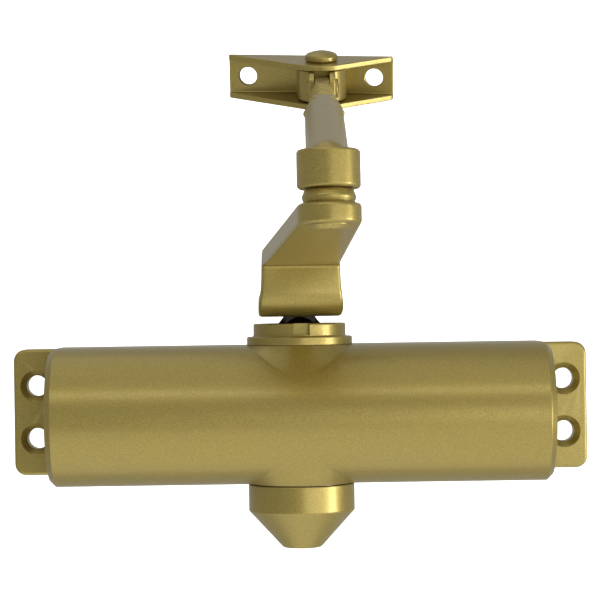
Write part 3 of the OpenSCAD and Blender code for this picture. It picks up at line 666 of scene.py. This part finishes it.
def start_tree(name, inputs):
    group = bpy.data.node_groups.new(name, "GeometryNodeTree")
    group.is_modifier = True
    sockets = group.interface
    sockets.new_socket("Geometry", in_out="INPUT", socket_type="NodeSocketGeometry")
    for label, kind, value in inputs:
        socket = sockets.new_socket(label, in_out="INPUT", socket_type=kind)
        if value is not None:
            socket.default_value = value
    sockets.new_socket("Geometry", in_out="OUTPUT", socket_type="NodeSocketGeometry")
    return group, group.nodes.new("NodeGroupInput")


def end_tree(group, given, geometry):
    real = add_node(group, "GeometryNodeRealizeInstances", Geometry=geometry)
    coated = add_node(
        group, "GeometryNodeSetMaterial",
        Geometry=real.outputs["Geometry"], Material=given.outputs["Material"])
    out = group.nodes.new("NodeGroupOutput")
    group.links.new(coated.outputs["Geometry"], out.inputs["Geometry"])
    return group


def ring_tree():
    group, given = start_tree("ring_of_copies", [
        ("Count", "NodeSocketInt", 8), ("Radius", "NodeSocketFloat", 5.0),
        ("Start", "NodeSocketFloat", 0.0), ("Width", "NodeSocketFloat", 1.0),
        ("Depth", "NodeSocketFloat", 1.0), ("Height", "NodeSocketFloat", 1.0),
        ("Material", "NodeSocketMaterial", None),
    ])
    circle = add_node(group, "GeometryNodeMeshCircle",
                      Vertices=given.outputs["Count"], Radius=given.outputs["Radius"])
    size = add_node(group, "ShaderNodeCombineXYZ", X=given.outputs["Depth"],
                    Y=given.outputs["Width"], Z=given.outputs["Height"])
    block = add_node(group, "GeometryNodeMeshCube", Size=size.outputs["Vector"])
    place = group.nodes.new("GeometryNodeInputPosition")
    outwards = add_node(group, "FunctionNodeAlignEulerToVector",
                        Vector=place.outputs["Position"])
    outwards.axis = "X"
    copies = add_node(
        group, "GeometryNodeInstanceOnPoints", Points=circle.outputs["Mesh"],
        Instance=block.outputs["Mesh"], Rotation=outwards.outputs["Rotation"])
    spin = add_node(group, "ShaderNodeCombineXYZ", Z=given.outputs["Start"])
    turned_ring = add_node(group, "GeometryNodeTransform",
                           Geometry=copies.outputs["Instances"], Rotation=spin.outputs["Vector"])
    return end_tree(group, given, turned_ring.outputs["Geometry"])


def grow(name, group, **values):
    """Runs a tree once and keeps its result as a plain mesh."""
    piece = bpy.data.objects.new(name, bpy.data.meshes.new(name))
    bpy.context.scene.collection.objects.link(piece)
    modifier = piece.modifiers.new(name, "NODES")
    modifier.node_group = group
    for item in group.interface.items_tree:
        label = item.name.replace(" ", "_")
        if item.in_out == "INPUT" and label in values:
            modifier[item.identifier] = values[label]
    mesh = evaluated_mesh(piece)
    piece.modifiers.remove(modifier)
    piece.data = mesh
    return piece


ring_of_copies = ring_tree()

# %% [markdown]
# A bearing nut screws into the body and holds the spindle's bearing.  The upper one shows, with a
# flange and four notches.  The lower one shows only while the cap is off.  Both are turned, and
# the notches are cut with four grown blocks, so they are evenly spaced by construction.

# %% Bearing nuts with spanner notches
flange_r, flange_h, ring_r, ring_h = 18.7, 3.1, 16.5, 4.6
bearing_r, lip_r, lip_z = 11.5, 7.9, 2.9


def bearing_nut(name, flange):
    top = flange + ring_h
    outer = [(nut_r - 0.02, -nut_depth, 0.3), (nut_r - 0.02, 0, 0)]
    if flange:
        outer += [(flange_r, 0, 0.35), (flange_r, flange, 0.55), (ring_r, flange, 0.35)]
    else:
        outer += [(ring_r, 0, 0.3)]
    profile = rounded(outer + [
        (ring_r, top, 0.6), (lip_r, top, 0.4), (lip_r, lip_z, 0), (bearing_r, lip_z, 0),
        (bearing_r, -nut_depth, 0.2),
    ])
    nut = turned(name, profile, ring=True)
    notches = grow(
        "notches", ring_of_copies, Count=4, Radius=ring_r, Start=math.radians(93),
        Width=5.6, Depth=8.0, Height=ring_h * 2, Material=arm_gold)
    return combine(nut, moved(notches, at(z=flange + 0.45 + ring_h)))


upper_nut = bearing_nut("bearing_nut_upper", flange_h)
settle(upper_nut, ROW @ at(0, spindle_y, body_top), "housing", body_gold,
       ["upper_bearing_nut"])
lower_nut = bearing_nut("bearing_nut_lower", 0)
moved(lower_nut, Matrix.Diagonal((1, 1, -1, 1)))
settle(facing(lower_nut), ROW @ at(0, spindle_y, body_bottom), "housing", ground_steel,
       ["lower_bearing_nut"])

# %% [markdown]
# ## End plugs and the lower cap
# The plugs close the cylinder at both ends and are screwed in with a hexagon key.  The cap under
# the body is a thin shell, so its profile runs down the outside and back up the inside.

# %% End plugs and spindle cap
def end_plug(name, side):
    profile = rounded([
        (0, 0, 0), (plug_r - 0.05, 0, 0.5), (plug_r - 0.05, 10.5, 0.7), (11.5, 10.5, 0.6),
        (11.5, 9.7, 0.4), (0, 9.7, 0),
    ], closed=False)
    plug = turned(name, profile)
    key = prism("key", hexagon(12, 0.3), 5.5, 14)
    combine(plug, key)
    turn = Matrix.Identity(4) if side > 0 else Matrix.Rotation(math.pi, 4, "Z")
    place = ROW @ at(0, bore_y, body_mid_z) @ turn @ at(plug_x) @ ALONG_X
    node = "right_end_plug" if side > 0 else "left_end_plug"
    return settle(plug, place, "housing", body_gold, [node])


end_plug("end_plug_right", 1)
end_plug("end_plug_left", -1)

cap_r, cap_wall, cap_side, cap_h, cap_end_r = 18.8, 2.0, 9.5, 22.7, 6.75
cap_profile = rounded([
    (cap_r - cap_wall, 0, 0.3), (cap_r, 0, 0.5), (cap_r, cap_side, 1.0), (cap_end_r, cap_h, 1.3),
    (0, cap_h, 0), (0, cap_h - cap_wall, 0), (5.3, cap_h - cap_wall, 0.8),
    (cap_r - cap_wall, cap_side - 0.7, 0.6),
], steps=8)
cap = turned("spindle_cap_shell", cap_profile, 128, ring=True)
cap_place = ROW @ at(0, spindle_y, body_bottom - 0.3) @ Matrix.Rotation(math.pi, 4, "X")
settle(cap, cap_place, "spindle_cap", arm_gold, ["spindle_cap"])

# %% [markdown]
# ## Bent sheet and bar
# The main arm is a flat bar bent twice, and the shoe is a sheet folded into a channel.  A press
# brake works on a flat blank, and so does this: the blank is made flat with its outline and
# holes, cut across where it will bend, and then every point is carried along a path of straight
# runs and arcs.

# %% Bend a blank along a path
def follow(path, u, w, start=(0.0, 0.0)):
    """Where a point of the blank goes: u along it and w off its middle."""
    x, y = start
    heading = 0.0
    for i, (length, turn) in enumerate(path):
        here = u if i == len(path) - 1 else min(u, length)
        if turn:
            radius = length / turn
            ahead = heading + here / radius
            x += radius * (math.sin(ahead) - math.sin(heading))
            y -= radius * (math.cos(ahead) - math.cos(heading))
            heading = ahead
        else:
            x += here * math.cos(heading)
            y += here * math.sin(heading)
        u -= here
        if u <= 1e-9:
            break
    return x - w * math.sin(heading), y + w * math.cos(heading)


def cut_across(bm, where, normal):
    parts = bm.verts[:] + bm.edges[:] + bm.faces[:]
    bmesh.ops.bisect_plane(bm, geom=parts, dist=1e-5, plane_co=where, plane_no=normal)


def bend_blank(piece, path, start, first=0.0, steps=10, swell=None):
    """The blank lies along its own Y from first; afterwards X is across, Y along, Z up."""
    bm = bmesh.new()
    bm.from_mesh(piece.data)
    run = first
    for length, turn in path:
        if turn or (swell and length < 20):
            for k in range(steps + 1):
                cut_across(bm, (0, run + length * k / steps, 0), (0, 1, 0))
        run += length
    if swell:
        for x in range(-12, 13, 2):
            cut_across(bm, (x, 0, 0), (1, 0, 0))
    for vert in bm.verts:
        lift = swell(vert.co) if swell else 0.0
        vert.co.y, vert.co.z = follow(path, vert.co.y - first, vert.co.z + lift, start)
    bm.to_mesh(piece.data)
    bm.free()
    return facing(piece)


# %% [markdown]
# The main arm is one bar, cranked up beside its hub to clear the body.  Its outline runs round both
# ends, with straight tapering sides between them.  It spreads a little where it is bent tightest,
# and that small bulge tells the eye that the bar was bent and not cast.

# %% Main arm
bar_t, hub_r, elbow_r = 6.0, 14.5, 9.25
hub_bend_r, step_bend_r, step_reach, step_h = 9.0, 7.0, 17.5, 17.9
elbow_low = -15.85
elbow_foot = ELBOW @ Vector((0, 0, elbow_low))
bar_rise = math.radians(3.5)
hub_flat = step_reach - hub_bend_r
lower_bend = (hub_bend_r - bar_t / 2) * math.pi / 2
upper_turn = math.pi / 2 - bar_rise
upper_bend = (step_bend_r - bar_t / 2) * upper_turn
bend_x = step_reach - bar_t + step_bend_r
bend_z = step_h + (bend_x - step_reach) * math.tan(bar_rise)
bend_z += (bar_t - step_bend_r) / math.cos(bar_rise)
web = bend_z - hub_bend_r
bar_path = [(hub_flat, 0), (lower_bend, math.pi / 2), (web, 0), (upper_bend, -upper_turn), (999, 0)]
far = Vector(((elbow_foot - spindle_at).xy.length / MM, (elbow_foot.z - spindle_at.z) / MM))
bar_start = Vector(follow(bar_path, hub_flat + lower_bend + web + upper_bend, -bar_t / 2))
bar_total = hub_flat + lower_bend + web + upper_bend + (far - bar_start).length
print(f"flat length of the main arm between its holes: {bar_total:.1f} mm")


def arm_blank():
    lean = math.degrees(math.asin((hub_r - elbow_r) / bar_total))
    hub_mid = hub_flat + lower_bend / 2

    def bulge(u):
        """The bar spreads a little where it is bent tightest."""
        return 0.75 * math.exp(-((u - hub_mid) / 4.0) ** 2)

    hub_edge = arc(0, 0, hub_r, 180 + lean, 360 - lean, 48)
    elbow_edge = arc(0, bar_total, elbow_r, lean, 180 - lean, 40)
    first, last = hub_edge[-1], elbow_edge[0]
    side = []
    for u in [1.0 + 1.5 * k for k in range(20)]:
        share = (u - first.y) / (last.y - first.y)
        side.append(Vector((first.x + (last.x - first.x) * share + bulge(u), u)))
    left = [Vector((-p.x, p.y)) for p in reversed(side)]
    outline = hub_edge + side + elbow_edge + left
    rim = round_edge(1.1)
    return prism("main_arm_bar", outline, -bar_t / 2, bar_t / 2, rim, rim)


def hub_swell(point):
    """The outside of the lower bend is a little barrelled, as pressed bar is."""
    run = (point.y - hub_flat) / (lower_bend + web)
    if point.z > 0 or not 0 < run < 1:
        return 0.0
    return -0.7 * math.sin(math.pi * run) * max(0.0, 1 - (point.x / hub_r) ** 2)


bar = bend_blank(arm_blank(), bar_path, (0.0, bar_t / 2), swell=hub_swell)
TURNED_OUT = Matrix.Diagonal((1, -1, 1, 1))
moved(bar, TURNED_OUT)
settle(facing(bar), HUB, "lever", arm_gold, ["main_arm"])

# %% [markdown]
# ## Elbow
# The elbow is a riveted stud with a thick shoulder.  The socket turns on it, held by a clip under
# a pressed-in cap.  All of them are turned parts on one axis, so they share one frame.

# %% Elbow stud, socket and cap
socket_low, socket_high = 10.3 + elbow_low, 21.4 + elbow_low
stud = turned("elbow_rivet", rounded([
    (0, -1.6, 0), (4.6, -1.5, 1.6), (6.3, -0.2, 0.3), (6.3, 0.3, 0), (3.9, 0.3, 0),
    (3.9, 5.7, 0), (7.1, 5.7, 0.2), (7.9, 7.8, 1.6), (7.0, 10.0, 0.3), (4.0, 10.0, 0.2),
    (4.0, 19.3, 0.4),
    (0, 19.3, 0),
], closed=False))
settle(stud, ELBOW @ at(z=elbow_low), "lever", arm_gold, ["elbow_stud"])

socket = turned("elbow_socket_cup", rounded([
    (5.5, socket_low, 0.3), (9.15, socket_low, 1.0), (9.15, socket_high, 0.9),
    (7.0, socket_high, 0.2), (7.0, socket_high - 4.6, 0), (5.5, socket_high - 4.6, 0),
]), ring=True)
settle(socket, ELBOW, "forearm", arm_gold, ["elbow_socket"])

elbow_cap = turned("elbow_dust_cap", rounded([
    (0, socket_high - 1.5, 0), (6.95, socket_high - 1.5, 0.1), (6.95, socket_high - 0.1, 0.4),
    (5.2, socket_high, 0.8), (0, socket_high + 0.35, 0),
], closed=False))
settle(elbow_cap, ELBOW, "forearm", arm_gold, ["elbow_cap"])

# %% [markdown]
# ## Forearm
# The forearm is a painted tube with a domed root on the socket.  A threaded rod slides in it to
# set the length and a lock nut holds it.  The thread is a helix, so Geometry Nodes sweep a small
# triangle along a spiral; the same tree winds the closing springs.

# %% Helix tree
def helix_tree():
    group, given = start_tree("helix", [
        ("Turns", "NodeSocketFloat", 5.0), ("Radius", "NodeSocketFloat", 5.0),
        ("Height", "NodeSocketFloat", 10.0), ("Wire", "NodeSocketFloat", 1.0),
        ("Sides", "NodeSocketInt", 8), ("Steps", "NodeSocketInt", 24),
        ("Material", "NodeSocketMaterial", None),
    ])
    spiral = add_node(
        group, "GeometryNodeCurveSpiral", Resolution=given.outputs["Steps"],
        Rotations=given.outputs["Turns"], Start_Radius=given.outputs["Radius"],
        End_Radius=given.outputs["Radius"], Height=given.outputs["Height"])
    wire = add_node(group, "GeometryNodeCurvePrimitiveCircle",
                    Resolution=given.outputs["Sides"], Radius=given.outputs["Wire"])
    sweep = add_node(group, "GeometryNodeCurveToMesh", Curve=spiral.outputs["Curve"],
                     Profile_Curve=wire.outputs["Curve"])
    sweep.inputs["Fill Caps"].default_value = True
    return end_tree(group, given, sweep.outputs["Mesh"])


helix = helix_tree()

# %% [markdown]
# The tube is turned in one piece with its domed root.  The rod's end is flattened for the cross
# pin, so a prism is joined to the turned core.  The thread is a piece of its own: a swept helix
# that sinks into the core looks like a cut thread and needs far fewer faces.

# %% Forearm tube, lock nut and threaded rod
tube_r, tube_len, rod_r = 6.4, 103.7, 4.0
tube_root = 13.0
thread_r = rod_r + 0.1
tube_profile = arc(0, tube_root, tube_r, -90, 0, 12)
tube_profile += rounded([
    (tube_r, tube_root + 1, 0), (tube_r, tube_len, 0.6), (thread_r, tube_len, 0.2),
    (thread_r, tube_root + 12, 0), (0, tube_root + 12, 0),
], closed=False)
tube = turned("forearm_tube_painted", tube_profile, 80)
settle(tube, FOREARM, "forearm", arm_gold, ["forearm_tube"])

nut_h = 5.0
nut = prism("lock_nut_hex", hexagon(12), 0, nut_h)
shape = turned("chamfer", [(0, -0.01), (6.0, -0.01), (7.0, 0.57), (7.0, nut_h - 0.57),
                           (6.0, nut_h + 0.01), (0, nut_h + 0.01)], 64)
combine(nut, shape, "INTERSECT")
combine(nut, turned("bore", [(0, -1), (thread_r, -1), (thread_r, nut_h + 1), (0, nut_h + 1)], 48))
settle(nut, FOREARM @ at(z=tube_len + 0.02), "forearm", arm_gold, ["lock_nut"])

pitch = 1.25
thread_inside, tongue_len = 45, 14
thread_start, thread_end = tube_len - thread_inside, reach - tongue_len
core_r = rod_r - 0.55
tongue_h, tongue_t = 8.0, 5.0
cross_hole_r, cross_pin_r = 2.06, 1.98
rod = turned("forearm_rod_core", rounded([
    (0, thread_start - 0.8, 0), (core_r - 0.6, thread_start - 0.8, 0), (core_r, thread_start, 0),
    (core_r, thread_end, 0.3), (rod_r, thread_end + 0.8, 0.5), (rod_r, reach - 9, 0.5),
    (0, reach - 8, 0),
], closed=False), 48)
tongue_corners = [(p.x, p.y, 0) for p in arc(0, 0, tongue_h / 2, 0, 180, 24)]
tongue_corners += [(-tongue_h / 2, -13, 2.4), (tongue_h / 2, -13, 2.4)]
tongue = prism("tongue", rounded(tongue_corners), -tongue_t / 2, tongue_t / 2,
               round_edge(0.5, 3), round_edge(0.5, 3))
pin_hole = [(0, -9), (cross_hole_r, -9), (cross_hole_r, 9), (0, 9)]
combine(tongue, turned("pin_hole", pin_hole, 40))
moved(tongue, at(z=reach) @ ALONG_X)
combine(rod, tongue, "UNION")
settle(rod, FOREARM, "rod", arm_gold, ["forearm_rod"])

thread = grow(
    "forearm_rod_thread", helix, Turns=(thread_end - thread_start) / pitch - 0.5,
    Radius=core_r + 0.12, Height=thread_end - thread_start - 1.2, Wire=0.42, Sides=4, Steps=26,
    Material=arm_gold)
settle(thread, FOREARM @ at(z=thread_start + 0.4), "rod", arm_gold, crease=25)

# %% [markdown]
# ## Knuckle and shoe
# The knuckle is a sintered barrel with a fork on its front.  The rod's tongue sits in the fork on
# a cross pin, and the barrel turns on the shoe's own pin.  The shoe is one sheet folded into a
# channel whose flanges taper to the ends.

# %% [markdown]
# The barrel and its fork could be modelled from one box.  Joining a turned barrel and a prism, and
# then cutting the slot and the bore, keeps every round face truly round.

# %% Knuckle
barrel_r, barrel_h, fork_w, slot_w, pin_gap = 8.8, 11.4, 9.6, 5.6, 10.5
pivot_hole_r, pivot_r = 4.06, 3.98


def knuckle_block():
    block = turned("knuckle_fork", rounded([
        (0, -barrel_h / 2, 0), (barrel_r, -barrel_h / 2, 0.6), (barrel_r, barrel_h / 2, 0.6),
        (0, barrel_h / 2, 0),
    ], closed=False))
    cheeks = rounded([
        (-14.5, -barrel_h / 2, 3.0), (0, -barrel_h / 2, 0), (0, barrel_h / 2, 0),
        (-14.5, barrel_h / 2, 3.0),
    ])
    fork = prism("fork", cheeks, -fork_w / 2, fork_w / 2, round_edge(0.6, 4), round_edge(0.6, 4))
    combine(block, moved(fork, ALONG_X), "UNION")
    slot = prism("slot", flat_rect(slot_w, 12, 0.5, cy=-11.9), -20, 20)
    combine(block, slot)
    bore = [(0, -20), (pivot_hole_r, -20), (pivot_hole_r, 20), (0, 20)]
    combine(block, turned("bore", bore, 64))
    return block


settle(knuckle_block(), KNUCKLE, "knuckle", arm_gold, ["knuckle"])

rivet = turned("cross_rivet", rounded([
    (0, -0.55, 0), (2.3, -0.55, 0.4), (2.7, 0, 0), (cross_pin_r, 0, 0), (cross_pin_r, fork_w, 0),
    (3.4, fork_w, 0.1), (3.4, fork_w + 0.8, 0.5), (0, fork_w + 1.3, 0),
], closed=False), 64)
settle(rivet, KNUCKLE @ at(-fork_w / 2, -pin_gap) @ ALONG_X, "knuckle", arm_gold,
       ["cross_pin"])

# %% [markdown]
# The blank of the shoe has a round nose on each flange, where its pin goes, and straight edges that
# just touch the nose.  The pin is off the middle, so left and right are worked out separately.
# Two folds then bring the flanges over and under the knuckle.

# %% Shoe
shoe_half, shoe_t, shoe_gap, shoe_reach = 30.0, 2.0, 12.0, 12.3
nose_r, shoe_hole_r = 10.5, 3.25
shoe_hole_xs = [
    (SHOE.inverted() @ Vector(mounts[name]["pos_m"])).x
    for name in ("shoe_hole_left", "shoe_hole_right")]
shoe_mid = sum(shoe_hole_xs) / 2
fold_out = shoe_t + 0.6
fold_len = (fold_out - shoe_t / 2) * math.pi / 2
web_half = shoe_gap / 2 + shoe_t - fold_out
flange_start = web_half + fold_len
pin_u = flange_start + shoe_reach - fold_out
blank_half = pin_u + nose_r
shoe_path = [
    (blank_half - flange_start, 0), (fold_len, math.pi / 2), (2 * web_half, 0),
    (fold_len, math.pi / 2), (999, 0),
]


def nose_touch(half_width):
    """The angle where a straight edge from a corner of that half width meets the nose."""
    corner = Vector((half_width, flange_start + 0.4 - pin_u))
    return math.degrees(math.atan2(corner.y, corner.x) + math.acos(nose_r / corner.length))


def shoe_blank():
    right, left = shoe_mid + shoe_half, shoe_mid - shoe_half
    edge = flange_start + 0.4
    nose = arc(0, pin_u, nose_r, nose_touch(right), 180 - nose_touch(-left), 36)
    half = [(right, edge, 1.5)] + [(p.x, p.y, 0) for p in nose] + [(left, edge, 1.5)]
    outline = rounded(half + [(x, -y, r) for x, y, r in reversed(half)], steps=4)
    rim = round_edge(0.35, 3)
    blank = prism("shoe_channel", outline, -shoe_t / 2, shoe_t / 2, rim, rim)
    for hole_at in shoe_hole_xs:
        hole = [(0, -4), (shoe_hole_r + 0.3, -4), (shoe_hole_r + 0.3, -shoe_t / 2),
                (shoe_hole_r, -shoe_t / 2 + 0.3), (shoe_hole_r, shoe_t / 2 - 0.3),
                (shoe_hole_r + 0.3, shoe_t / 2), (shoe_hole_r + 0.3, 4), (0, 4)]
        combine(blank, moved(turned("hole", hole, 48), at(hole_at)))
    return blank


shoe = bend_blank(
    shoe_blank(), shoe_path, (-nose_r, -shoe_gap / 2 - shoe_t / 2), first=-blank_half, steps=8)
settle(shoe, SHOE, "shoe", arm_gold, ["shoe_bracket"])

pin_base = shoe_gap / 2 + shoe_t
shoe_pin = turned("shoe_pivot", rounded([
    (0, -pin_base - 1, 0), (4.6, -pin_base - 1, 0.5), (4.9, -pin_base, 0), (pivot_r, -pin_base, 0),
    (pivot_r, pin_base, 0), (5.2, pin_base, 0), (5.3, pin_base + 0.2, 0),
    (5.8, pin_base + 0.5, 0.2),
    (5.8, pin_base + 1.9, 0.6), (5.2, pin_base + 2.55, 1.0), (3.4, pin_base + 3.2, 2.0),
    (1.5, pin_base + 3.6, 2.0), (0, pin_base + 3.65, 0),
], closed=False), 80)
settle(shoe_pin, SHOE, "shoe", arm_gold, ["shoe_pin"])

# %% [markdown]
# ## Arm screw
# The screw that holds the arm on the spindle is a socket-head screw.  Its head is knurled: a ring
# of small ribs, grown with the same tree as the spanner notches.

# %% Arm screw with a knurled head
screw_low = bar_t + 1.6
screw = turned("arm_screw_head", rounded([
    (0, screw_low - 16, 0), (2.95, screw_low - 16, 0.3), (2.95, screw_low, 0),
    (4.75, screw_low, 0.2), (4.75, screw_low + 5.6, 0.6), (0, screw_low + 5.6, 0),
], closed=False), 64)
combine(screw, prism("key", hexagon(5, 0.1), screw_low + 2.6, screw_low + 9))
settle(screw, HUB, "lever", ground_steel, ["arm_screw"])
ribs = grow("arm_screw_knurl", ring_of_copies, Count=36, Radius=4.6, Width=0.42, Depth=0.75,
            Height=4.2, Start=0.0, Material=ground_steel)
settle(ribs, HUB @ at(z=screw_low + 2.6), "lever", ground_steel)

# %% [markdown]
# ## Closing springs
# The springs push the piston back and shorten as it comes.  They are wound with the helix tree
# between the ends of the CAD spring, and ride on the housing at one length.

# %% Springs
spring_left, spring_right = low_of("outer_spring")[0], high_of("outer_spring")[0]
windings = (("outer", 3.6, 13.4, 6), ("inner", 2.2, 8.5, 9))
for name, wire, radius, turns in windings:
    coil = grow(
        f"{name}_spring_coil", helix, Turns=float(turns), Radius=radius,
        Height=spring_right - spring_left - wire, Wire=wire / 2, Sides=14, Steps=40,
        Material=spring_steel)
    place = ROW @ at(spring_left + wire / 2, bore_y, body_mid_z) @ ALONG_X
    settle(coil, place, "housing", spring_steel, [f"{name}_spring"])
    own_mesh(coil)

# %% [markdown]
# ## Pieces that stay as the CAD made them
# The rest is inside the body or turned to a plain shape, and only needs its own finish.

# %% Finishes of the CAD pieces
node_finish = {
    rubber: ["end_plug_o_rings", "upper_shaft_seal", "lower_shaft_seal", "piston_seals",
             "closing_valve_o_ring", "latching_valve_o_ring"],
    ground_steel: ["upper_bearing", "lower_bearing", "arm_washer", "elbow_clip", "spring_seat",
                   "check_valve_ball"],
    # The spindle's near-black steel is painted shade for the shadow under the arm's hub.
    painted_shade_steel: ["spindle"],
    cast_iron: ["piston"],
    bronze: ["check_valve_retainer", "closing_speed_valve", "latching_speed_valve", "elbow_bush"],
}
for material, names in node_finish.items():
    for name in names:
        for holder in frame["nodes"][name].material_slots:
            holder.link = "OBJECT"
            holder.material = material

# %% [markdown]
# ## Floor, light and camera
# The closer hangs in front of a plain pale sweep, a floor that curves up into a wall so that no
# corner shows.  Reflections leave it out, and the metal shows the panels alone.

# %% Pale sweep
def sweep():
    floor_z, wall_y, radius, half = -0.42, 1.3, 0.5, 3.0
    bend = arc(wall_y - radius, floor_z + radius, radius, -90, 0, 16)
    profile = [Vector((-4.0, floor_z))] + bend + [Vector((wall_y, 3.5))]
    points = [(side * half, p.x, p.y) for p in profile for side in (-1, 1)]
    faces = [(2 * i, 2 * i + 1, 2 * i + 3, 2 * i + 2) for i in range(len(profile) - 1)]
    mesh = bpy.data.meshes.new("sweep")
    mesh.from_pydata(points, [], faces)
    mesh.shade_smooth()
    floor = bpy.data.objects.new("sweep", mesh)
    bpy.context.scene.collection.objects.link(floor)
    material, _ = shader("pale_floor", (0.93, 0.93, 0.93), metallic=0.0, roughness=0.9)
    mesh.materials.append(material)
    floor.visible_glossy = False


sweep()

# %% [markdown]
# Satin metal is drawn by what it reflects, so the lights are large panels.  A bright one stands on
# the right and lights that side of every curve.  A wide dim one in front, a strip above it and a
# table below give the body its soft bands.  The panel overhead and the surroundings are dimmer, so
# the top goes darker, and the backdrop has a panel of its own to keep it white.

# %% Lights and surroundings
def panel(name, place, target, size, radiance):
    """A soft box given by how bright its face is."""
    data = bpy.data.lights.new(name, "AREA")
    data.shape = "RECTANGLE"
    data.size, data.size_y = size
    data.energy = radiance * math.pi * size[0] * size[1]
    lamp = bpy.data.objects.new(name, data)
    bpy.context.scene.collection.objects.link(lamp)
    lamp.location = place
    aim = Vector(target) - Vector(place)
    lamp.rotation_euler = aim.to_track_quat("-Z", "Y").to_euler()


MIDDLE = (0, -0.05, 0.03)
panel("key", (1.05, -0.42, -0.10), MIDDLE, (0.35, 0.42), 9.5)
panel("front", (0.85, -1.45, -0.06), MIDDLE, (1.6, 0.7), 1.75)
panel("strip", (0.0, -1.0, 0.80), MIDDLE, (1.8, 0.20), 2.2)
panel("overhead", (-0.1, -0.1, 1.1), MIDDLE, (1.6, 0.7), 0.42)
panel("table", (0.55, -0.55, -0.40), (0.55, -0.55, 1), (1.9, 1.2), 0.62)
panel("backdrop", (0, 0.35, 0.9), (0, 1.3, 0.5), (2.4, 0.6), 7.0)

world = bpy.data.worlds.new("surroundings")
world.use_nodes = True
world.node_tree.nodes["Background"].inputs["Color"].default_value = (1, 1, 1, 1)
world.node_tree.nodes["Background"].inputs["Strength"].default_value = 0.42
bpy.context.scene.world = world
print("panels:", len(bpy.data.lights))

# %% [markdown]
# The standard view shows the paint in the colour it was mixed in.  A filmic view would turn the
# white background grey and the gold duller.

# %% Colour management
view = bpy.context.scene.view_settings
view.view_transform = "Standard"
view.look = "None"

# %% [markdown]
# A long lens from well back keeps the long edges of the body nearly parallel, and a roll of less
# than a degree lets it hang a touch out of level.

# %% Camera
eye = Vector((0.0004, -0.850, 0.0391))
lens_mm = 140.0
roll = math.radians(-0.85)
camera_data = bpy.data.cameras.new("camera")
camera_data.lens = lens_mm
camera_data.sensor_width = 36.0
camera_data.clip_end = 20
camera = bpy.data.objects.new("camera", camera_data)
bpy.context.scene.collection.objects.link(camera)
camera.location = eye
level = Matrix.Rotation(math.pi / 2, 3, "X") @ Matrix.Rotation(roll, 3, "Z")
camera.rotation_euler = level.to_euler()
bpy.context.scene.camera = camera
print(f"camera {-eye.y:.2f} m in front of the door, lens {lens_mm:.0f} mm")
